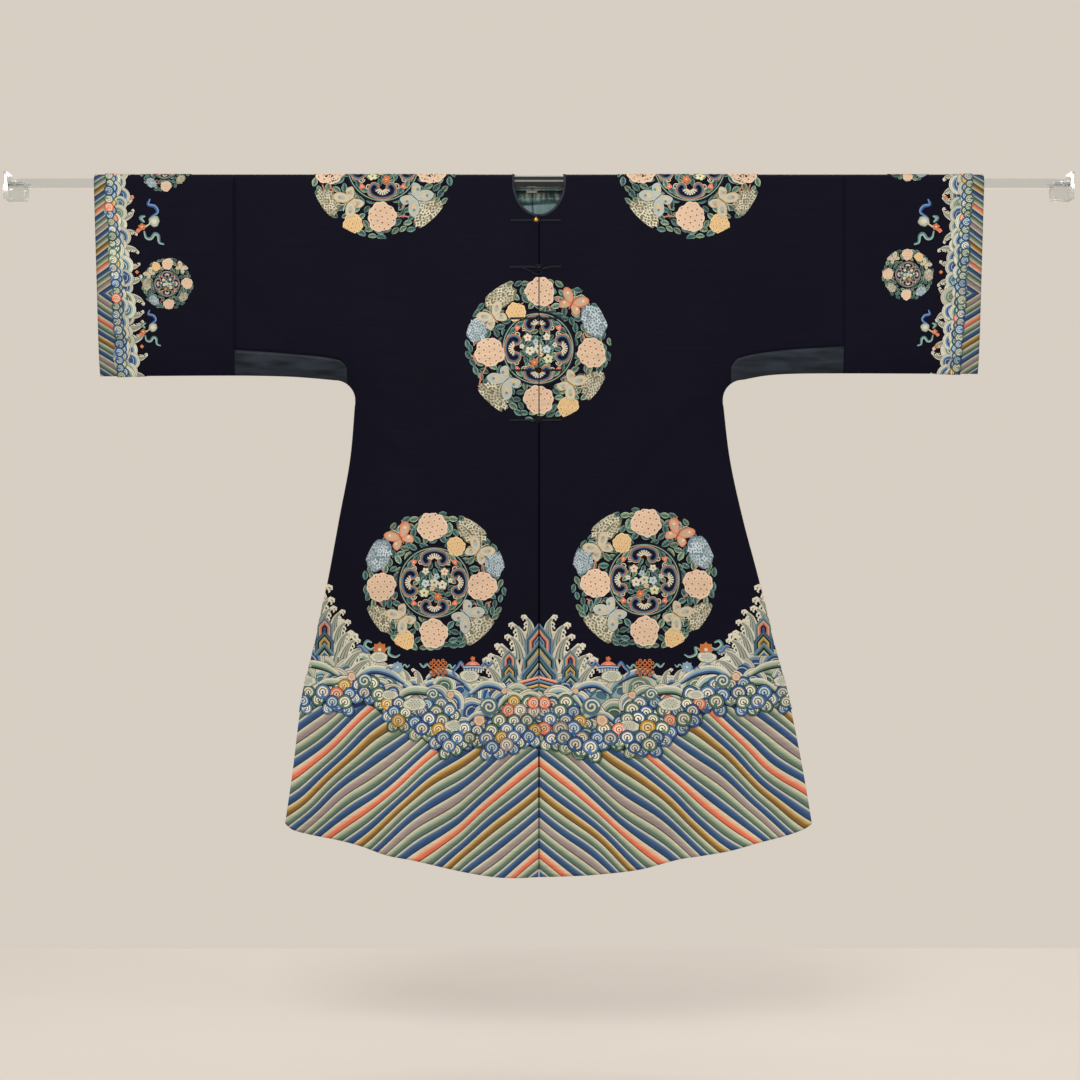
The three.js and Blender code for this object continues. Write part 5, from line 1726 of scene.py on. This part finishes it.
# Breaking spirals, peach patches and foam among the curls, and the emblems over the waves
HEM_SPIRALS = ((100, -1059, 18, False), (352, -1008, 15, True), (214, -1034, 13, False))
HEM_PATCHES = ((120, -1087, 12), (70, -1028, 6), (378, -1000, 9), (178, -1036, 8))
HEM_FOAM = ((250, -1054, 19), (170, -1098, 17), (140, -998, 17), (300, -1036, 14), (470, -1010, 16))
HEM_EMBLEMS = (("knot", 203, -981, 18.5), ("canopy", 133, -979, 22), ("petals", 321, -945, 16),
               ("blue", 284, -980, 12))
DEEP_WATER = (BLUE_DARK, BLUE, (60, 84, 110))


def hem_half(seed):
    """The sea on one half of the hem, from the centre line out to a side seam 490 away."""
    draw = np.random.default_rng(seed)
    end = SIDE_WIDTH + 14
    parts = [fill_bank(0, end, lambda s: hem_low(s) + 5, hem_high, 7.0, DEEP_WATER),
             fill_bank(0, end, hem_high, lambda s: hem_top(s) - 12, 7.0, ((130, 148, 140), (168, 174, 158)))]
    parts += wave_bank(30, end, hem_high, hem_top, 25.0, 3, draw, 2.0)
    for points, tones, width in HEM_SWEEPS:
        parts.append(ribbon_scroll(points, tones, width, 6.4))
    parts += curl_bank(0, end, hem_low, hem_high, 19.0, draw, 7.6)
    for step, (x, up, length, lean) in enumerate(SPRAYS_BY_MIDDLE):
        parts.append(place(SPRAY, x, up, -lean, length, 0.4 + 0.35 * step))
    for step, (x, up, length, lean) in enumerate(SPRAYS_BY_SIDE):
        parts.append(place(SPRAY, x, up, lean, length, 0.4 + 0.35 * step, True))
    parts.append(place(rock(20.5, 80, SMALL_ROCK_STACKS), 434, -958, 0, 1, 5.4))
    parts.append(place(rock(17, 66, SMALL_ROCK_STACKS), 60, -1011, 0, 1, 5.4))
    for x, up, size, mirror in HEM_SPIRALS:
        parts.append(place(spiral_wave(), x, up, 0, size, 14.6, mirror))
    for x, up, size in HEM_PATCHES:
        patch = disc(uneven_outline(30, 7, draw), ((204, 168, 138), PEACH, (146, 110, 84)), (0.5, 0.84, 1.0))
        parts.append(place(patch, x, up, 0, size, 14.8))
    for x, up, size in HEM_FOAM:
        parts.append(place(foam(draw), x, up, 0, size, 14.0))
    for kind, x, up, size in HEM_EMBLEMS:
        parts.append(place(emblem_group(kind, draw), x, up, 0, size, 13.4, kind == "petals"))
    return gather(parts)


def cuff_sea(seed, length):
    """The sea along one face of a cuff: distance along it from the fold, and height in from the stripes."""
    draw = np.random.default_rng(seed)

    def low(s):
        return -7 + 1.5 * np.sin(s / 17.0)

    def high(s):
        return 10 + 2 * np.sin(s / 23.0 + 1.0)

    def top(s):
        return 27 + 4 * np.sin(s / 31.0)

    start, end = -4.0, length + 6
    parts = [fill_bank(start, end, low, high, 6.0, DEEP_WATER),
             fill_bank(start, end, high, lambda s: top(s) - 8, 6.0, ((62, 88, 112), (104, 128, 130)))]
    parts += wave_bank(start, end, high, top, 15.5, 2, draw, 2.0)
    parts += curl_bank(start, end, low, high, 8.6, draw, 5.5, rows=2)
    for at in np.arange(10, length, 31.0):
        parts.append(place(SPRAY, at + draw.normal(0, 3), 25 + draw.normal(0, 2), draw.normal(0, 0.2),
                           draw.uniform(24, 31), 1.0, mirror=bool(draw.integers(0, 2))))
    for at in np.arange(60, length, 150.0):
        parts.append(place(small_flower(ORANGE, SALMON_LIGHT, 4), at, 46, 0, 4.0, 5.0))
    return gather(parts)


# Laying the woven shapes on the cloth

def on_panels(points, split):
    """The places drawn in to the cloth's edges: side seam, hem, cuff, underside and, if split, one half."""
    x, up = points[:, 0], points[:, 1]
    z = FOLD_RUN - np.abs(up)
    out = np.abs(x)
    side = np.sign(x) if split is None else np.full(len(x), float(split))
    side[side == 0] = 1
    for half, chosen in (("left", side < 0), ("right", side > 0)):
        below = chosen & (z < UNDERARM_Z)
        out[below] = np.minimum(out[below], read(SIDE_SEAM, "z", half, z[below]) - 0.3)
        across = out[below] / read(SIDE_SEAM, "z", half, z[below])
        z[below] = np.maximum(z[below], read(HEM_LINE, "across", half, across) + 0.4)
        arm = chosen & (out > SLEEVE_SEAM_OUT - 40)
        z[arm] = np.maximum(z[arm], underside_z(half, out[arm]) + 0.3)
        cuff = CUFF_TOP_OUT - cuff_slant(half, np.minimum(z, 0))
        out[chosen] = np.minimum(out[chosen], cuff[chosen] - 0.4)
    if split is not None:
        gap = read(HANGING_DEPTH, "z", "opening", z) / 2 + 0.15
        out = np.where(np.sign(x) == split, np.maximum(out, gap), gap)
    drawn_up = np.sign(up) * np.where(np.abs(up) > FOLD_RUN, FOLD_RUN - z, np.abs(up))
    return np.column_stack([side * out, drawn_up, points[:, 2]])


def weave_in(name, shape, split_front=False):
    """A woven shape laid on the cloth, each layer a little prouder, as a piece with its dyes."""
    points, faces, dyes = shape
    kept = []
    for split in (-1, 1) if split_front else (None,):
        drawn = on_panels(points.copy(), split)
        a, b, c = (drawn[faces[:, corner], :2] for corner in range(3))
        area = (b[:, 0] - a[:, 0]) * (c[:, 1] - a[:, 1]) - (b[:, 1] - a[:, 1]) * (c[:, 0] - a[:, 0])
        wanted = np.abs(area) > 0.004
        turned = np.where(area[:, None] < 0, faces[:, ::-1], faces)[wanted]
        used, renumbered = np.unique(turned, return_inverse=True)
        kept.append((drawn[used], renumbered.reshape(-1, 3), dyes[wanted]))
    points, faces, dyes = gather(kept)
    x, run = points[:, 0], -points[:, 1]
    near_fold = 0.35 * np.exp(-((run / 30) ** 2))
    z = FOLD_RUN - np.abs(run)
    side = np.where(x < 0, read(SIDE_SEAM, "z", "left", z), read(SIDE_SEAM, "z", "right", z))
    underside = np.where(x < 0, underside_z("left", np.abs(x)), underside_z("right", np.abs(x)))
    edge = np.where(z < UNDERARM_Z, side - np.abs(x), z - underside)
    near_edge = 0.9 * np.clip(1 - edge / 26, 0, 1) ** 2
    lift = BASE_LIFT + LAYER_LIFT * points[:, 2] + near_fold + near_edge
    piece = new_piece(name, on_cloth(x, run, lift), faces, [motif_silk],
                      uv=np.column_stack([x, run]))
    colours = np.column_stack([linear(dyes), np.ones(len(dyes))])
    attribute = piece.data.color_attributes.new(name="Dye", type="FLOAT_COLOR", domain="CORNER")
    attribute.data.foreach_set("color", np.repeat(colours, 3, axis=0).astype(np.float32).ravel())


LARGE_RADIUS = 148
SMALL_RADIUS = 53


def on_front(z):
    """The up value of a height on the hanging front."""
    return z - FOLD_RUN


# Name, x, up, turn, mirrored, size and seed of each roundel; on the back a turn of half a circle is upright
LARGE_ROUNDELS = (
    ("chest", -2, on_front(-337), 0, False, LARGE_RADIUS, 11),
    ("skirt_left", -211, on_front(-810), 0, True, LARGE_RADIUS - 2, 12),
    ("skirt_right", 212, on_front(-804), 0, False, LARGE_RADIUS, 12),
    ("shoulder_left", -316, 5, 0, True, LARGE_RADIUS, 13),
    ("shoulder_right", 305, 5, 0, False, LARGE_RADIUS, 13),
    ("back", 0, -on_front(-337), np.pi, False, LARGE_RADIUS, 14),
    ("back_skirt_left", -212, -on_front(-806), np.pi, True, LARGE_RADIUS, 15),
    ("back_skirt_right", 213, -on_front(-806), np.pi, False, LARGE_RADIUS, 15),
)
SMALL_ROUNDELS = (
    ("sleeve_left", -752, on_front(-206), 0, False, 21),
    ("sleeve_right", 746, on_front(-187), 0, True, 22),
    ("sleeve_top_left", -757, 4, 0, False, 23),
    ("sleeve_top_right", 749, 25, 0, True, 24),
    ("sleeve_back_left", -752, -on_front(-200), np.pi, True, 25),
    ("sleeve_back_right", 748, -on_front(-196), np.pi, False, 26),
)
for name, x, up, turn, mirror, size, seed in LARGE_ROUNDELS:
    weave_in(f"woven_roundel_{name}", place(roundel(seed), x, up, turn, size, 0, mirror), name == "chest")
for name, x, up, turn, mirror, seed in SMALL_ROUNDELS:
    small = roundel(seed, SMALL_HEADS, SMALL_BUTTERFLIES, 0.172)
    weave_in(f"woven_small_roundel_{name}", place(small, x, up, turn, SMALL_RADIUS, 0, mirror))


def to_hem(shape, half, face):
    """A half of the sea moved from its own line to the hem of one half and one face."""
    points, faces, dyes = shape
    width = read(SIDE_SEAM, "z", half, points[:, 1]) / read(SIDE_SEAM, "z", "left", points[:, 1])
    up = -TOWARD[face] * on_front(points[:, 1])
    return np.column_stack([MIRROR[half] * points[:, 0] * width, up, points[:, 2]]), faces, dyes


CENTRE_ROCK = gather([rock(37, 112, ROCK_STACKS), rock_foot(37, 30)])
CENTRE_ROCK_Z = -1004
SALMON_CURL = cloud_curl(SALMON, SALMON_PALE)
for face, face_seed in (("front", 35), ("back", 41)):
    for half, half_seed in (("left", 0), ("right", 1)):
        weave_in(f"woven_hem_{face}_{half}", to_hem(hem_half(face_seed + half_seed), half, face))
    up = -TOWARD[face] * on_front(CENTRE_ROCK_Z)
    curl_up = -TOWARD[face] * (on_front(CENTRE_ROCK_Z) - 48)
    centre = [place(CENTRE_ROCK, 0, up, UPRIGHT[face], 1, 16.0)]
    centre += [place(SALMON_CURL, x, curl_up, UPRIGHT[face], 12, 22.0) for x in (-11, 11)]
    weave_in(f"woven_centre_rock_{face}", gather(centre), face == "front")


def to_cuff(shape, half, face):
    """The sea along a cuff: its height turned in from the stripes, and its length down from the fold."""
    points, faces, dyes = shape
    z = FOLD_RUN - points[:, 0]
    out = CUFF_LINE_OUT + CUFF_LINE_SLANT * np.minimum(z, 0) - points[:, 1]
    return np.column_stack([MIRROR[half] * out, TOWARD[face] * points[:, 0], points[:, 2]]), faces, dyes


CUFF_LENGTH = 420
FAN_OUT = 792
# Fans beside each cuff: face, height, size, and the half on which it is mirrored
FANS = (("front", -90, 19, "right"), ("front", -302, 15, "right"), ("back", -130, 18, "left"))
for half, seed in (("left", 51), ("right", 52)):
    for face, more in (("front", 0), ("back", 10)):
        weave_in(f"woven_cuff_{face}_{half}", to_cuff(cuff_sea(seed + more, CUFF_LENGTH), half, face))
    draw = np.random.default_rng(seed + 20)
    emblems = [place(emblem_group("fan", draw), MIRROR[half] * FAN_OUT, -TOWARD[face] * on_front(z),
                     UPRIGHT[face], size, 6.0, half == mirrored)
               for face, z, size, mirrored in FANS]
    weave_in(f"woven_cuff_emblems_{half}", gather(emblems))


# Floor, light and camera

def stage_material():
    """A plain pale floor with the faintest mottle."""
    material, tree, shader, place = new_material("pale floor")
    dyed = use_group(tree, uneven_dye, {
        "Colour": dye(216, 212, 208), "Place": place, "Patches": 0.05, "Streak": 0.0})
    give(tree, shader, {"Base Color": dyed["Colour"], "Roughness": 0.9})
    return material


FLOOR_Z, FLOOR_HALF_WIDTH, FLOOR_HALF_DEPTH = -1.75, 1.9, 1.0
FLOOR_CORNERS = [(x * FLOOR_HALF_WIDTH, y * FLOOR_HALF_DEPTH, FLOOR_Z)
                 for x, y in ((-1, -1), (1, -1), (1, 1), (-1, 1))]
floor_mesh = bpy.data.meshes.new("floor")
floor_mesh.from_pydata(FLOOR_CORNERS, [], [(0, 1, 2, 3)])
floor_mesh.materials.append(stage_material())
floor = bpy.data.objects.new("floor", floor_mesh)
bpy.context.scene.collection.objects.link(floor)

world = bpy.data.worlds.new("studio air")
world.use_nodes = True
give(world.node_tree, world.node_tree.nodes["Background"], {"Color": dye(232, 222, 210), "Strength": 0.85})
bpy.context.scene.world = world


def soft_light(name, spot, size, power, colour):
    """A square soft light at a spot, turned towards the middle of the robe."""
    light = bpy.data.lights.new(name, "AREA")
    light.shape = "SQUARE"
    light.size = size
    light.energy = power
    light.color = colour
    holder = bpy.data.objects.new(name, light)
    bpy.context.scene.collection.objects.link(holder)
    holder.location = spot
    holder.rotation_euler = (Vector(ROBE_MIDDLE) - Vector(spot)).to_track_quat("-Z", "Y").to_euler()


ROBE_MIDDLE = (0, 0, -0.7)
soft_light("key light", (-0.6, -2.6, 1.5), 1.6, 50, (1.0, 0.97, 0.92))
soft_light("side light", (2.6, -2.2, 0.2), 1.6, 16, (0.96, 0.98, 1.0))
soft_light("back light", (0.4, 2.8, 1.3), 1.8, 50, (1.0, 0.98, 0.95))

CAMERA_DISTANCE = 4.2
FRAME_WIDTH = 2.192
camera_data = bpy.data.cameras.new("camera")
camera_data.sensor_width = 36
camera_data.lens = camera_data.sensor_width * CAMERA_DISTANCE / FRAME_WIDTH
camera = bpy.data.objects.new("camera", camera_data)
camera.location = (0.002, -CAMERA_DISTANCE, -0.724)
camera.rotation_euler = (QUARTER, 0, 0)
bpy.context.scene.collection.objects.link(camera)
bpy.context.scene.camera = camera
bpy.context.scene.view_settings.view_transform = "Standard"
